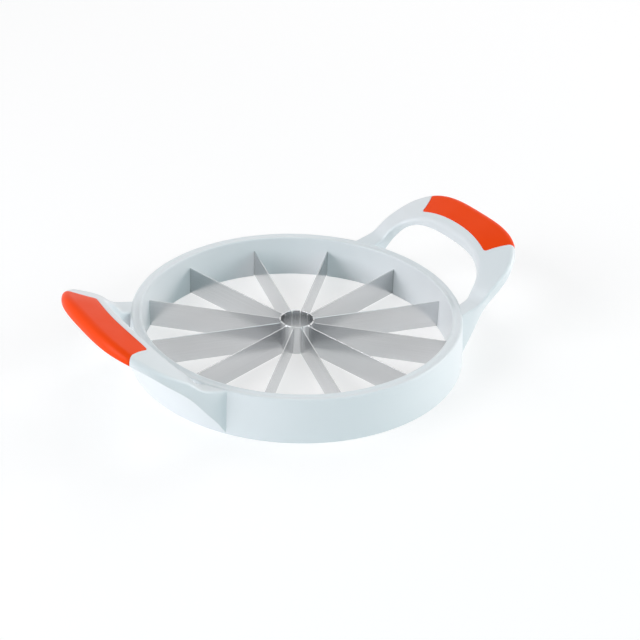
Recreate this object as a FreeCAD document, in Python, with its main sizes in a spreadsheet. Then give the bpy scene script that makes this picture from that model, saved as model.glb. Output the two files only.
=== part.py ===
import FreeCAD, Part
import math
import os
import Sketcher

# Melon slicer: a ring that holds twelve blades and a core tube, pressed down by two looped handles.
# Millimetres, +Z up. The origin is on the ring's axis, in the plane that the ring stands on.
# The handles lie along X, and the object is symmetric about the XZ and YZ planes.

# Driving dimensions, one cell each in the sheet: name, value, what it is.
SIZES = (
    ("ring_radius", 140.0, "outer radius of the ring's top edge"),
    ("ring_flare", 3.0, "how much further out the ring's wall stands at its foot"),
    ("ring_height", 38.3, "height of the rim above the table"),
    ("ring_wall", 2.8, "thickness of the outer wall"),
    ("rim_width", 9.0, "width of the rim from its outer edge to the inner wall"),
    ("rim_thickness", 3.4, "thickness of the rim"),
    ("rim_shoulder", 2.2, "width of the flat beside each edge of the rim"),
    ("rim_dish", 0.8, "depth of the dish in the rim"),
    ("dish_round", 5.0, "radius at the bottom of the dish"),
    ("rim_round", 1.5, "radius of the rim's edges"),
    ("inner_wall", 2.4, "thickness of the wall inside the rim, which the blades pass through"),
    ("blade_thickness", 0.8, "thickness of a blade"),
    ("blade_clearance", 0.1, "gap between a blade and what it is slotted into, each side"),
    ("blade_foot", 1.0, "height of the cutting edges above the table"),
    ("blade_height", 25.0, "height of a blade"),
    ("blade_bevel", 4.0, "height of the ground bevel above the cutting edge"),
    ("blade_edge", 0.12, "thickness of the cutting edge"),
    ("tab_length", 10.0, "length of the bent tab at a blade's outer end"),
    ("core_radius", 15.0, "outer radius of the core tube"),
    ("core_wall", 1.4, "wall of the core tube"),
    ("core_height", 27.0, "height of the core tube"),
    ("core_bevel", 4.0, "height of the bevel at the core tube's cutting edge"),
    ("core_edge", 0.2, "thickness of the core tube's cutting edge"),
    ("core_slot_depth", 14.0, "depth of the slots in the top of the core tube"),
    ("clamp_foot", 2.2, "height of the retaining ring above the table"),
    ("clamp_flange", 3.0, "thickness of the retaining ring's flange"),
    ("clamp_rib", 1.6, "thickness of the rib that presses on the blade tabs"),
    ("clamp_top", 24.0, "height of the rib's top above the table"),
    ("fit_gap", 0.15, "gap round a piece that drops into another"),
    ("boss_radius", 3.0, "radius of the screw bosses in the ring"),
    ("boss_sink", 0.4, "how far those bosses sink into the inner wall"),
    ("screw_radius", 1.4, "radius of a screw's shank"),
    ("screw_head_radius", 2.4, "radius of a screw's head"),
    ("screw_head_height", 1.2, "height of a screw's head"),
    ("screw_point", 1.2, "length of a screw's pointed end"),
    ("recess_reach", 1.4, "reach of the cross recess in a screw's head"),
    ("recess_width", 0.35, "half the width of the cross recess"),
    ("recess_depth", 0.7, "depth of the cross recess"),
    ("ring_screw_length", 16.0, "length of a ring screw below its head"),
    ("cover_screw_length", 5.0, "length of a cover screw below its head"),
    ("screw_gap", 0.05, "gap between a screw and its hole"),
    ("arm_half_width", 80.0, "Y of an arm's outer side where it leaves the ring"),
    ("hole_half_width", 62.5, "Y of the hand hole's edge where the arm leaves the ring"),
    ("root_sink", 0.2, "how far the arms' roots sink into the ring's top edge"),
    ("bar_reach", 56.0, "from the ring's top edge out to the bar's outer side at its middle"),
    ("hole_reach", 20.5, "from the ring's top edge out to the bar's inner side at its middle"),
    ("bar_outer_rise", 48.2, "from the rim up to the bar's outer top corner, before rounding"),
    ("bar_inner_rise", 35.7, "from the rim up to the bar's inner top corner, before rounding"),
    ("bar_outer_depth", 11.5, "from the bar's outer top corner down to its outer lower edge"),
    ("bar_inner_depth", 10.0, "from the bar's inner top corner down to its inner lower edge"),
    ("bar_lean", 0.8, "how much further out the bar's outer side stands at its foot"),
    ("arm_tuck", 3.5, "how far an arm's outer side draws in at its foot, a third along"),
    ("bar_round", 7.0, "radius of the bar's outer top corner"),
    ("lip_round", 6.0, "radius of the bar's inner top corner"),
    ("arm_round", 2.0, "radius of an arm's top corners at the ring"),
    ("handle_wall", 2.2, "wall of the hollow handle"),
    ("grip_thickness", 2.2, "thickness of the soft grip"),
    ("grip_inner_reach", 29.0, "from the ring's top edge out to the grip's inner edge at its middle"),
    ("grip_tip_reach", 23.0, "from the ring's top edge out to the grip's inner tips, along X"),
    ("grip_tip_y", 45.0, "Y of the grip's inner tips"),
    ("grip_end_reach", 47.0, "from the ring's top edge out to the grip's outer tips, along X"),
    ("grip_end_y", 60.5, "Y of the grip's outer tips"),
    ("grip_end_hollow", 1.6, "how far the ends of the grip curve inwards"),
    ("cover_thickness", 1.8, "thickness of the handle cover"),
    ("cover_recess", 0.3, "how far the handle cover is set up into the bar"),
    ("cover_gap", 0.4, "gap between the handle cover and the bar's walls"),
    ("cover_half_length", 44.0, "half the handle cover's length along Y"),
    ("cover_screw_y", 22.0, "Y of the cover screws"),
    ("cover_boss_radius", 3.6, "radius of the bosses for the cover screws"),
    ("cover_boss_seat", 0.1, "how far those bosses sink into the cover"),
    ("notch_gap", 0.3, "gap round a screw boss where the rib is cut away for it"),
    ("hollow_round", 0.4, "radius of the handle hollow's top corners"),
    ("grip_lip_round", 1.0, "radius under the grip's inner edge"),
    ("grip_tip_round", 3.0, "radius of the grip's inner tips in plan"),
)
BLADE_COUNT = 12
FIRST_BLADE_ANGLE = 15.0
RING_SCREW_COUNT = 6

# The handle's loop is lofted through stations, from an arm's root to the bar's middle. Each row holds
# shares: how far along X the station lies, how far its top and its foot have risen, and how much of
# the arm's tuck its outer side draws in at its foot, where a minus sign means that it stands out.
STATIONS = (
    (0.0, 0.0, 0.0, -0.9),
    (0.11, 0.045, 0.15, -0.4),
    (0.23, 0.11, 0.31, 0.5),
    (0.36, 0.29, 0.475, 1.0),
    (0.49, 0.44, 0.62, 0.5),
    (0.61, 0.56, 0.745, 0.0),
    (0.72, 0.68, 0.845, 0.0),
    (0.82, 0.79, 0.92, 0.0),
    (0.9, 0.885, 0.965, 0.0),
    (0.965, 0.96, 0.99, 0.0),
    (1.0, 1.0, 1.0, 0.0),
)
# The loop's two sides in plan are superellipses with these powers, and the radius of its outer top
# corner grows with the share along X to a power of its own.
OUTER_POWERS = (3.5, 3.1)
INNER_POWERS = (3.0, 2.5)
ROUND_POWER = 4.0
# Between these shares the handle's wall steps in to make room for the grip.
STEP_FROM, STEP_TO = 0.62, 0.8
# How far a shape that only cuts runs past the one that it cuts.
PAST = 8.0
# How near two places are that count as one.
NEAR = 0.01


class Size:
    """A length that is known both as a number and as a formula on the sheet."""

    def __init__(self, value, text=None):
        self.value = float(value)
        self.text = f"{self.value:.6g}" if text is None else text

    @staticmethod
    def of(other):
        return other if isinstance(other, Size) else Size(other)

    def join(self, other, sign, value):
        return Size(value, f"({self.text} {sign} {Size.of(other).text})")

    def __add__(self, other):
        return self.join(other, "+", self.value + Size.of(other).value)

    def __sub__(self, other):
        return self.join(other, "-", self.value - Size.of(other).value)

    def __mul__(self, other):
        return self.join(other, "*", self.value * Size.of(other).value)

    def __truediv__(self, other):
        return self.join(other, "/", self.value / Size.of(other).value)

    def __neg__(self):
        return Size(-self.value, f"(-1 * {self.text})")


def hypot(a, b):
    return Size(math.hypot(a.value, b.value), f"hypot({a.text}; {b.text})")


def leg(longest, other):
    """The third side of a right-angled triangle."""
    value = math.sqrt(longest.value ** 2 - other.value ** 2)
    return Size(value, f"sqrt(pow({longest.text}; 2) - pow({other.text}; 2))")


def direction(across, along):
    """Angle in degrees of a line that runs this far along X and this far along Y."""
    value = math.degrees(math.atan2(along.value, across.value))
    return Size(value, f"atan2({along.text}; {across.text})")


doc = FreeCAD.newDocument("melon_slicer")
sheet = doc.addObject("Spreadsheet::Sheet", "sizes")
size = {}
for row, (alias, number, note) in enumerate(SIZES, start=1):
    sheet.set(f"A{row}", alias)
    sheet.set(f"B{row}", str(number))
    sheet.set(f"C{row}", note)
    sheet.setAlias(f"B{row}", alias)
    size[alias] = Size(number, f"sizes.{alias}")
doc.recompute()


# Sketches

def bind(target, **wanted):
    """Set properties of an object to formulas on the sheet."""
    for name, length in wanted.items():
        length = Size.of(length)
        setattr(target, name, length.value)
        target.setExpression(name, length.text)


def unit(start, end):
    """Unit vector from one point to another."""
    dx, dy = end[0] - start[0], end[1] - start[1]
    length = math.hypot(dx, dy)
    return dx / length, dy / length


def rounded_corner(before, corner, after, radius):
    """Where a corner's arc starts and ends, and its centre."""
    ax, ay = unit(corner, before)
    bx, by = unit(corner, after)
    half = math.acos(ax * bx + ay * by) / 2.0
    setback = radius / math.tan(half)
    reach = radius / math.sin(half)
    mx, my = unit((0.0, 0.0), (ax + bx, ay + by))
    start = (corner[0] + ax * setback, corner[1] + ay * setback)
    end = (corner[0] + bx * setback, corner[1] + by * setback)
    return start, end, (corner[0] + mx * reach, corner[1] + my * reach)


def pin(sketch, geometry, point, x, y):
    """Hold a point of the sketch at coordinates that follow the sheet."""
    for kind, wanted in (("DistanceX", x), ("DistanceY", y)):
        wanted = Size.of(wanted)
        index = sketch.addConstraint(Sketcher.Constraint(kind, -1, 1, geometry, point, wanted.value))
        sketch.setExpression(f"Constraints[{index}]", wanted.text)


def add_corner_arc(sketch, before, after, place, radius, trim):
    """Round the corner between two lines, tangent to both, with its corner held in place."""
    start, end, centre = trim
    first = math.atan2(start[1] - centre[1], start[0] - centre[0])
    last = math.atan2(end[1] - centre[1], end[0] - centre[0])
    ends = (1, 2)
    if (last - first) % (2 * math.pi) > math.pi:
        first, last = last, first
        ends = (2, 1)
    circle = Part.Circle(FreeCAD.Vector(*centre, 0), FreeCAD.Vector(0, 0, 1), radius.value)
    arc = sketch.addGeometry(Part.ArcOfCircle(circle, first, last), False)
    sketch.addConstraint(Sketcher.Constraint("Tangent", before, 2, arc, ends[0]))
    sketch.addConstraint(Sketcher.Constraint("Tangent", arc, ends[1], after, 1))
    index = sketch.addConstraint(Sketcher.Constraint("Radius", arc, radius.value))
    sketch.setExpression(f"Constraints[{index}]", radius.text)
    x, y = Size.of(place[0]), Size.of(place[1])
    corner = sketch.addGeometry(Part.Point(FreeCAD.Vector(x.value, y.value, 0)), True)
    sketch.addConstraint(Sketcher.Constraint("PointOnObject", corner, 1, before))
    sketch.addConstraint(Sketcher.Constraint("PointOnObject", corner, 1, after))
    pin(sketch, corner, 1, x, y)


def outline(sketch, corners):
    """Draw a closed outline of lines. Each corner is (x, y), or (x, y, radius) where it is rounded."""
    places = [(Size.of(corner[0]).value, Size.of(corner[1]).value) for corner in corners]
    radii = [Size.of(corner[2]) if len(corner) > 2 else None for corner in corners]
    trims = []
    for i, place in enumerate(places):
        if radii[i] is None:
            trims.append((place, place, None))
        else:
            after = places[(i + 1) % len(places)]
            trims.append(rounded_corner(places[i - 1], place, after, radii[i].value))
    lines = []
    for i in range(len(places)):
        start, end = trims[i][1], trims[(i + 1) % len(places)][0]
        line = Part.LineSegment(FreeCAD.Vector(*start, 0), FreeCAD.Vector(*end, 0))
        lines.append(sketch.addGeometry(line, False))
    for i, corner in enumerate(corners):
        before, after = lines[i - 1], lines[i]
        if radii[i] is None:
            sketch.addConstraint(Sketcher.Constraint("Coincident", before, 2, after, 1))
            pin(sketch, after, 1, corner[0], corner[1])
        else:
            add_corner_arc(sketch, before, after, corner, radii[i], trims[i])


def curved_outline(sketch, steps):
    """Draw a closed outline. Each step is a point and what the arc to the next point passes through,
    or None for a straight line."""
    def vector(point):
        return FreeCAD.Vector(Size.of(point[0]).value, Size.of(point[1]).value, 0)

    edges = []
    for i, (point, through) in enumerate(steps):
        following = steps[(i + 1) % len(steps)][0]
        if through is None:
            line = sketch.addGeometry(Part.LineSegment(vector(point), vector(following)), False)
            edges.append((line, 1, 2))
            continue
        bow = Part.Arc(vector(point), vector(through), vector(following)).toShape().Curve
        angles = [math.atan2(p.y - bow.Center.y, p.x - bow.Center.x)
                  for p in (vector(point), vector(through), vector(following))]
        forward = (angles[1] - angles[0]) % (2 * math.pi) < (angles[2] - angles[0]) % (2 * math.pi)
        first, last = (angles[0], angles[2]) if forward else (angles[2], angles[0])
        flat = Part.Circle(bow.Center, FreeCAD.Vector(0, 0, 1), bow.Radius)
        arc = sketch.addGeometry(Part.ArcOfCircle(flat, first, last), False)
        edges.append((arc, 1, 2) if forward else (arc, 2, 1))
        middle = sketch.addGeometry(Part.Point(vector(through)), True)
        sketch.addConstraint(Sketcher.Constraint("PointOnObject", middle, 1, arc))
        pin(sketch, middle, 1, through[0], through[1])
    for i, (point, through) in enumerate(steps):
        before, after = edges[i - 1], edges[i]
        sketch.addConstraint(Sketcher.Constraint("Coincident", before[0], before[2], after[0], after[1]))
        pin(sketch, after[0], after[1], point[0], point[1])


def rectangle(sketch, low_x, low_y, high_x, high_y):
    outline(sketch, ((low_x, low_y), (high_x, low_y), (high_x, high_y), (low_x, high_y)))


def circle(sketch, x, y, radius):
    """Draw a circle whose centre and radius follow the sheet."""
    x, y = Size.of(x), Size.of(y)
    shape = Part.Circle(FreeCAD.Vector(x.value, y.value, 0), FreeCAD.Vector(0, 0, 1), radius.value)
    index = sketch.addGeometry(shape, False)
    pin(sketch, index, 3, x, y)
    held = sketch.addConstraint(Sketcher.Constraint("Radius", index, radius.value))
    sketch.setExpression(f"Constraints[{held}]", radius.text)


# Bodies and their features

def new_body(name):
    body = doc.addObject("PartDesign::Body", name)
    body.Label = name
    return body


def plane_sketch(body, name, role, lift=0, turn=0.0):
    """A sketch on one of the body's origin planes, lifted along its normal and turned in it."""
    sketch = body.newObject("Sketcher::SketchObject", name)
    plane = next(feature for feature in body.Origin.OriginFeatures if feature.Role == role)
    sketch.AttachmentSupport = (plane, [""])
    sketch.MapMode = "FlatFace"
    sketch.AttachmentOffset = FreeCAD.Placement(FreeCAD.Vector(0, 0, 0), FreeCAD.Rotation(turn, 0, 0))
    sketch.setExpression("AttachmentOffset.Base.z", Size.of(lift).text)
    return sketch


def origin_axis(body, role):
    return next(feature for feature in body.Origin.OriginFeatures if feature.Role == role)


def revolve(body, name, sketch):
    """Turn a sketch of the XZ plane once about Z."""
    feature = body.newObject("PartDesign::Revolution", name)
    feature.Profile = sketch
    feature.ReferenceAxis = (origin_axis(body, "Z_Axis"), [""])
    feature.Angle = 360.0
    return feature


def pad(body, name, sketch, length):
    feature = body.newObject("PartDesign::Pad", name)
    feature.Profile = sketch
    bind(feature, Length=length)
    return feature


def pocket(body, name, sketch, length, upwards=False):
    feature = body.newObject("PartDesign::Pocket", name)
    feature.Profile = sketch
    feature.Reversed = upwards
    bind(feature, Length=length)
    return feature


def polar(body, name, feature, count):
    """Repeat a feature evenly round Z."""
    pattern = body.newObject("PartDesign::PolarPattern", name)
    pattern.Originals = [feature]
    pattern.Axis = (origin_axis(body, "Z_Axis"), [""])
    pattern.Angle = 360.0
    pattern.Occurrences = count
    body.Tip = pattern
    return pattern


def place(target, x, y, z, yaw=0, pitch=0, roll=0):
    """Bind an object's Placement: a point, and turns about Z, Y and X."""
    x, y, z = Size.of(x).text, Size.of(y).text, Size.of(z).text
    turns = f"{Size.of(yaw).text}; {Size.of(pitch).text}; {Size.of(roll).text}"
    target.setExpression("Placement", f"placement(vector({x}; {y}; {z}); rotation({turns}))")


def cut(name, base, tool):
    result = doc.addObject("Part::Cut", name)
    result.Base, result.Tool = base, tool
    return result


def common(name, base, tool):
    result = doc.addObject("Part::Common", name)
    result.Base, result.Tool = base, tool
    return result


def fuse(name, shapes):
    result = doc.addObject("Part::MultiFuse", name)
    result.Shapes = shapes
    return result


def mirror(name, source, normal):
    """Mirror a shape in the origin plane with this normal."""
    result = doc.addObject("Part::Mirroring", name)
    result.Source = source
    result.Base = FreeCAD.Vector(0, 0, 0)
    result.Normal = FreeCAD.Vector(*normal)
    return result


# Places that more than one piece reads

inner_radius = size["ring_radius"] - size["rim_width"]
inner_wall_back = inner_radius + size["inner_wall"]
foot_radius = size["ring_radius"] + size["ring_flare"]
rim_underside = size["ring_height"] - size["rim_thickness"]
blade_top = size["blade_foot"] + size["blade_height"]
slot_half_width = size["blade_thickness"] / 2 + size["blade_clearance"]
tab_front = inner_wall_back + size["fit_gap"]
tab_back = tab_front + size["blade_thickness"]
tab_side = size["tab_length"] - size["blade_thickness"] / 2
flange_top = size["clamp_foot"] + size["clamp_flange"]
rib_inner = hypot(tab_back, tab_side) + size["fit_gap"]
boss_circle = inner_wall_back + size["boss_radius"] - size["boss_sink"]
screw_hole_radius = size["screw_radius"] + size["screw_gap"]
core_top = size["blade_foot"] + size["core_height"]
core_bore = size["core_radius"] - size["core_wall"]
root_radius = size["ring_radius"] - size["root_sink"]
bar_x = size["ring_radius"] + size["bar_reach"]
bar_outer_top = size["ring_height"] + size["bar_outer_rise"]
bar_inner_top = size["ring_height"] + size["bar_inner_rise"]
bar_outer_foot = bar_outer_top - size["bar_outer_depth"]
bar_inner_foot = bar_inner_top - size["bar_inner_depth"]


# Ring

def ring_shell():
    """The ring's channel, open below, with its blade slots and screw bosses."""
    body = new_body("ring_shell")
    profile = plane_sketch(body, "ring_profile", "XZ_Plane")
    outline(profile, (
        (foot_radius, 0),
        (size["ring_radius"], size["ring_height"], size["rim_round"]),
        (size["ring_radius"] - size["rim_shoulder"], size["ring_height"]),
        (size["ring_radius"] - size["rim_width"] / 2, size["ring_height"] - size["rim_dish"],
         size["dish_round"]),
        (inner_radius + size["rim_shoulder"], size["ring_height"]),
        (inner_radius, size["ring_height"], size["rim_round"]),
        (inner_radius, 0),
        (inner_wall_back, 0),
        (inner_wall_back, rim_underside),
        (size["ring_radius"] - size["ring_wall"], rim_underside),
        (foot_radius - size["ring_wall"], 0),
    ))
    revolve(body, "ring_turn", profile)
    boss = plane_sketch(body, "boss_sketch", "XY_Plane", lift=flange_top)
    circle(boss, boss_circle, 0, size["boss_radius"])
    bosses = pad(body, "boss", boss, rim_underside - flange_top + size["rim_thickness"] / 2)
    polar(body, "bosses", bosses, RING_SCREW_COUNT)
    hole = plane_sketch(body, "boss_hole_sketch", "XY_Plane", lift=flange_top)
    circle(hole, boss_circle, 0, screw_hole_radius)
    depth = size["ring_screw_length"] - size["clamp_flange"] + size["fit_gap"]
    holes = pocket(body, "boss_hole", hole, depth, upwards=True)
    polar(body, "boss_holes", holes, RING_SCREW_COUNT)
    slot = plane_sketch(body, "blade_slot_sketch", "XY_Plane", turn=FIRST_BLADE_ANGLE)
    rectangle(slot, inner_radius - size["inner_wall"], -slot_half_width, tab_front, slot_half_width)
    slots = pocket(body, "blade_slot", slot, blade_top + size["blade_clearance"], upwards=True)
    polar(body, "blade_slots", slots, BLADE_COUNT)
    return body


def retaining_ring():
    """The ring that closes the channel from below, with a rib that presses on the blade tabs."""
    body = new_body("retaining_ring")
    profile = plane_sketch(body, "clamp_profile", "XZ_Plane")
    flange_inner = inner_wall_back + size["fit_gap"]
    draft = size["ring_flare"] * flange_top / size["ring_height"]
    flange_outer = foot_radius - size["ring_wall"] - draft - size["fit_gap"]
    outline(profile, (
        (flange_inner, size["clamp_foot"]),
        (flange_outer, size["clamp_foot"]),
        (flange_outer, flange_top),
        (rib_inner + size["clamp_rib"], flange_top),
        (rib_inner + size["clamp_rib"], size["clamp_top"]),
        (rib_inner, size["clamp_top"]),
        (rib_inner, flange_top),
        (flange_inner, flange_top),
    ))
    revolve(body, "clamp_turn", profile)
    notch = plane_sketch(body, "rib_notch_sketch", "XY_Plane", lift=flange_top)
    circle(notch, boss_circle, 0, size["boss_radius"] + size["notch_gap"])
    notches = pocket(body, "rib_notch", notch, size["clamp_top"], upwards=True)
    polar(body, "rib_notches", notches, RING_SCREW_COUNT)
    hole = plane_sketch(body, "clamp_hole_sketch", "XY_Plane")
    circle(hole, boss_circle, 0, screw_hole_radius + size["fit_gap"])
    holes = pocket(body, "clamp_hole", hole, flange_top + PAST, upwards=True)
    polar(body, "clamp_holes", holes, RING_SCREW_COUNT)
    return body


def core_ring():
    """The tube in the middle, bevelled below and slotted above for the blades."""
    body = new_body("core_ring")
    profile = plane_sketch(body, "core_profile", "XZ_Plane")
    outline(profile, (
        (core_bore, size["blade_foot"]),
        (core_bore + size["core_edge"], size["blade_foot"]),
        (size["core_radius"], size["blade_foot"] + size["core_bevel"]),
        (size["core_radius"], core_top),
        (core_bore, core_top),
    ))
    revolve(body, "core_turn", profile)
    slot = plane_sketch(body, "core_slot_sketch", "XY_Plane", lift=core_top, turn=FIRST_BLADE_ANGLE)
    rectangle(slot, core_bore - size["core_wall"], -slot_half_width,
              size["core_radius"] + size["core_wall"], slot_half_width)
    slots = pocket(body, "core_slot", slot, size["core_slot_depth"])
    polar(body, "core_slots", slots, BLADE_COUNT)
    return body


def blade(number):
    """A blade along +X, ground to an edge below, with a tab for the core tube and one for the ring."""
    body = new_body(f"blade_{number:02d}")
    start = size["core_radius"] + size["blade_clearance"]
    half = size["blade_thickness"] / 2
    half_edge = size["blade_edge"] / 2
    bevel_top = size["blade_foot"] + size["blade_bevel"]
    section = plane_sketch(body, f"blade_section_{number:02d}", "YZ_Plane", lift=start)
    outline(section, (
        (-half_edge, size["blade_foot"]),
        (half_edge, size["blade_foot"]),
        (half, bevel_top),
        (half, blade_top),
        (-half, blade_top),
        (-half, bevel_top),
    ))
    pad(body, f"strip_{number:02d}", section, inner_wall_back - start)
    tip_foot = core_top - size["core_slot_depth"] + size["blade_clearance"]
    tip = plane_sketch(body, f"core_tab_sketch_{number:02d}", "XY_Plane", lift=tip_foot)
    rectangle(tip, core_bore, -half, start + size["blade_thickness"], half)
    pad(body, f"core_tab_{number:02d}", tip, blade_top - tip_foot)
    tab_foot = flange_top + size["fit_gap"]
    tab = plane_sketch(body, f"ring_tab_sketch_{number:02d}", "XY_Plane", lift=tab_foot)
    outline(tab, (
        (inner_wall_back - size["blade_thickness"], -half),
        (tab_back, -half),
        (tab_back, tab_side),
        (tab_front, tab_side),
        (tab_front, half),
        (inner_wall_back - size["blade_thickness"], half),
    ))
    pad(body, f"ring_tab_{number:02d}", tab, size["clamp_top"] - tab_foot)
    place(body, 0, 0, 0, yaw=FIRST_BLADE_ANGLE + number * 360.0 / BLADE_COUNT - 360.0 / BLADE_COUNT)
    return body


def screw(name, length):
    """A screw that points up, with its head's underside at the origin's height."""
    body = new_body(name)
    profile = plane_sketch(body, f"{name}_profile", "XZ_Plane")
    head = -size["screw_head_height"]
    outline(profile, (
        (0, head),
        (size["screw_head_radius"], head),
        (size["screw_head_radius"], 0),
        (size["screw_radius"], 0),
        (size["screw_radius"], length - size["screw_point"]),
        (0, length),
    ))
    revolve(body, f"{name}_turn", profile)
    cross = plane_sketch(body, f"{name}_cross_sketch", "XY_Plane", lift=head)
    reach, half = size["recess_reach"], size["recess_width"]
    outline(cross, (
        (reach, -half), (reach, half), (half, half), (half, reach), (-half, reach), (-half, half),
        (-reach, half), (-reach, -half), (-half, -half), (-half, -reach), (half, -reach), (half, -half),
    ))
    pocket(body, f"{name}_cross", cross, size["recess_depth"], upwards=True)
    return body


def group(name, bodies):
    """Identical screws as one group of separate solids."""
    result = doc.addObject("Part::Compound", name)
    result.Label = name
    result.Links = bodies
    return result


def ring_screws():
    bodies = []
    for number in range(RING_SCREW_COUNT):
        angle = number * 360.0 / RING_SCREW_COUNT
        body = screw(f"ring_screw_{number + 1}", size["ring_screw_length"])
        x = boss_circle * math.cos(math.radians(angle))
        y = boss_circle * math.sin(math.radians(angle))
        place(body, x, y, size["clamp_foot"], yaw=angle)
        bodies.append(body)
    return group("ring_screws", bodies)


# Handle loop

def superellipse(share, powers):
    """Share of the half width at which a side of the loop passes a share of its reach."""
    along, across = powers
    return (1.0 - share ** along) ** (1.0 / across)


def stations():
    """The loop's stations from the near arm's root, round the bar, to the far arm's root."""
    near = [Station(row, -1.0) for row in STATIONS]
    far = [Station(row, 1.0) for row in reversed(STATIONS[:-1])]
    return near + far


class Station:
    """The sizes of the loop's upright section at one station."""

    def __init__(self, row, side):
        share, rise, foot_rise, tuck = row
        inner_root = leg(root_radius, size["hole_half_width"])
        outer_root = leg(root_radius, size["arm_half_width"])
        self.x = inner_root + (size["ring_radius"] + size["hole_reach"] - inner_root) * share
        self.y = size["hole_half_width"] * (side * superellipse(share, INNER_POWERS))
        outer_x = outer_root + (bar_x - outer_root) * share
        outer_y = size["arm_half_width"] * (side * superellipse(share, OUTER_POWERS))
        self.yaw = direction(outer_x - self.x, outer_y - self.y)
        self.width = hypot(outer_x - self.x, outer_y - self.y)
        self.inner_top = size["ring_height"] + size["bar_inner_rise"] * rise
        self.outer_top = size["ring_height"] + size["bar_outer_rise"] * rise
        self.inner_foot = bar_inner_foot * foot_rise
        self.outer_foot = bar_outer_foot * foot_rise
        self.lean = size["bar_lean"] * share - size["arm_tuck"] * tuck
        self.top_slope = (self.outer_top - self.inner_top) / self.width
        self.foot_slope = (self.outer_foot - self.inner_foot) / self.width
        bloom = share ** ROUND_POWER
        self.outer_round = size["arm_round"] + (size["bar_round"] - size["arm_round"]) * bloom
        self.inner_round = size["arm_round"] + (size["lip_round"] - size["arm_round"]) * share
        under_round = size["bar_round"] - size["grip_thickness"]
        self.under_round = size["arm_round"] / 2 + (under_round - size["arm_round"] / 2) * bloom
        step = min(1.0, max(0.0, (share - STEP_FROM) / (STEP_TO - STEP_FROM)))
        self.skin = size["handle_wall"] + size["grip_thickness"] * step

    def top_at(self, x):
        return self.inner_top + self.top_slope * x

    def foot_at(self, x):
        return self.inner_foot + self.foot_slope * x

    def whole(self):
        """The handle's outside."""
        return (
            (0, self.inner_foot),
            (0, self.inner_top, self.inner_round),
            (self.width, self.outer_top, self.outer_round),
            (self.width + self.lean, self.outer_foot),
        )

    def under_grip(self):
        """All that lies under the grip's thickness, running past the inner side and the foot."""
        right = self.width - size["grip_thickness"]
        drop = size["grip_thickness"]
        return (
            (-PAST, self.inner_foot - PAST),
            (-PAST, self.top_at(Size(-PAST)) - drop, size["grip_lip_round"]),
            (right, self.top_at(right) - drop, self.under_round),
            (right + self.lean, self.outer_foot - PAST),
        )

    def hollow(self):
        """The space inside the handle, running past the foot."""
        left, right = size["handle_wall"], self.width - self.skin
        return (
            (left, self.inner_foot - PAST),
            (left, self.top_at(left) - self.skin, size["hollow_round"]),
            (right, self.top_at(right) - self.skin, size["hollow_round"]),
            (right + self.lean, self.outer_foot - PAST),
        )

    def cover(self):
        """The handle cover, between the handle's two sides."""
        left = size["handle_wall"] + size["cover_gap"]
        right = self.width - self.skin - size["cover_gap"]
        low = size["cover_recess"]
        high = low + size["cover_thickness"]
        return (
            (left, self.foot_at(left) + low),
            (left, self.foot_at(left) + high),
            (right, self.foot_at(right) + high),
            (right, self.foot_at(right) + low),
        )


def loop(name, shape):
    """Loft one of the station's outlines round the loop."""
    sections = []
    for number, station in enumerate(stations()):
        sketch = doc.addObject("Sketcher::SketchObject", f"{name}_{number:02d}")
        place(sketch, station.x, station.y, 0, yaw=station.yaw, roll=90)
        outline(sketch, shape(station))
        sections.append(sketch)
    loft = doc.addObject("Part::Loft", name)
    loft.Sections = sections
    loft.Solid = True
    return loft


def upright_edges(shape, x, y):
    """Names of the upright edges at this X, at this distance from the XZ plane."""
    names = []
    for number, edge in enumerate(shape.Edges, start=1):
        box = edge.BoundBox
        at_x = abs(box.XMin - x) + abs(box.XMax - x) < NEAR
        if at_x and box.ZLength > NEAR and abs(abs(box.Center.y) - y) < NEAR:
            names.append(f"Edge{number}")
    return names


def grip_zone():
    """Everything above and below the area that the soft grip covers in plan."""
    tip_x, tip_y = size["ring_radius"] + size["grip_tip_reach"], size["grip_tip_y"]
    end_x, end_y = size["ring_radius"] + size["grip_end_reach"], size["grip_end_y"]
    inner_x = size["ring_radius"] + size["grip_inner_reach"]
    run_x, run_y = end_x - tip_x, end_y - tip_y
    run = hypot(run_x, run_y)
    hollow_x = (tip_x + end_x) / 2 + run_y / run * size["grip_end_hollow"]
    hollow_y = (tip_y + end_y) / 2 - run_x / run * size["grip_end_hollow"]
    far_x = bar_x + PAST
    far_y = end_y + run_y / run_x * (far_x - end_x)
    body = new_body("grip_zone")
    sketch = plane_sketch(body, "grip_plan", "XY_Plane")
    curved_outline(sketch, (
        ((tip_x, -tip_y), (hollow_x, -hollow_y)),
        ((end_x, -end_y), None),
        ((far_x, -far_y), None),
        ((far_x, far_y), None),
        ((end_x, end_y), (hollow_x, hollow_y)),
        ((tip_x, tip_y), (inner_x, 0)),
    ))
    zone = pad(body, "grip_block", sketch, bar_outer_top + PAST)
    doc.recompute()
    rounding = body.newObject("PartDesign::Fillet", "grip_tips")
    rounding.Base = (zone, upright_edges(zone.Shape, tip_x.value, tip_y.value))
    bind(rounding, Radius=size["grip_tip_round"])
    return body


class CoverScrew:
    """Where a cover screw stands: its axis is square to the bar's foot at the bar's middle."""

    def __init__(self, side):
        middle = Station(STATIONS[-1], 0.0)
        across = (size["handle_wall"] + middle.width - middle.skin) / 2
        self.pitch = -direction(Size(1), middle.foot_slope)
        self.x = middle.x + across
        self.y = size["cover_screw_y"] * side
        self.foot = middle.foot_at(across)
        self.tilt = hypot(Size(1), middle.foot_slope)
        self.sine = middle.foot_slope / self.tilt

    def cylinder(self, name, radius, low, length):
        """A cylinder on the screw's axis, whose lower end is this far above the bar's foot."""
        result = doc.addObject("Part::Cylinder", name)
        bind(result, Radius=radius, Height=length)
        self.stand(result, low)
        return result

    def stand(self, target, low):
        place(target, self.x - low * self.sine, self.y, self.foot + low / self.tilt, pitch=self.pitch)


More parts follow.
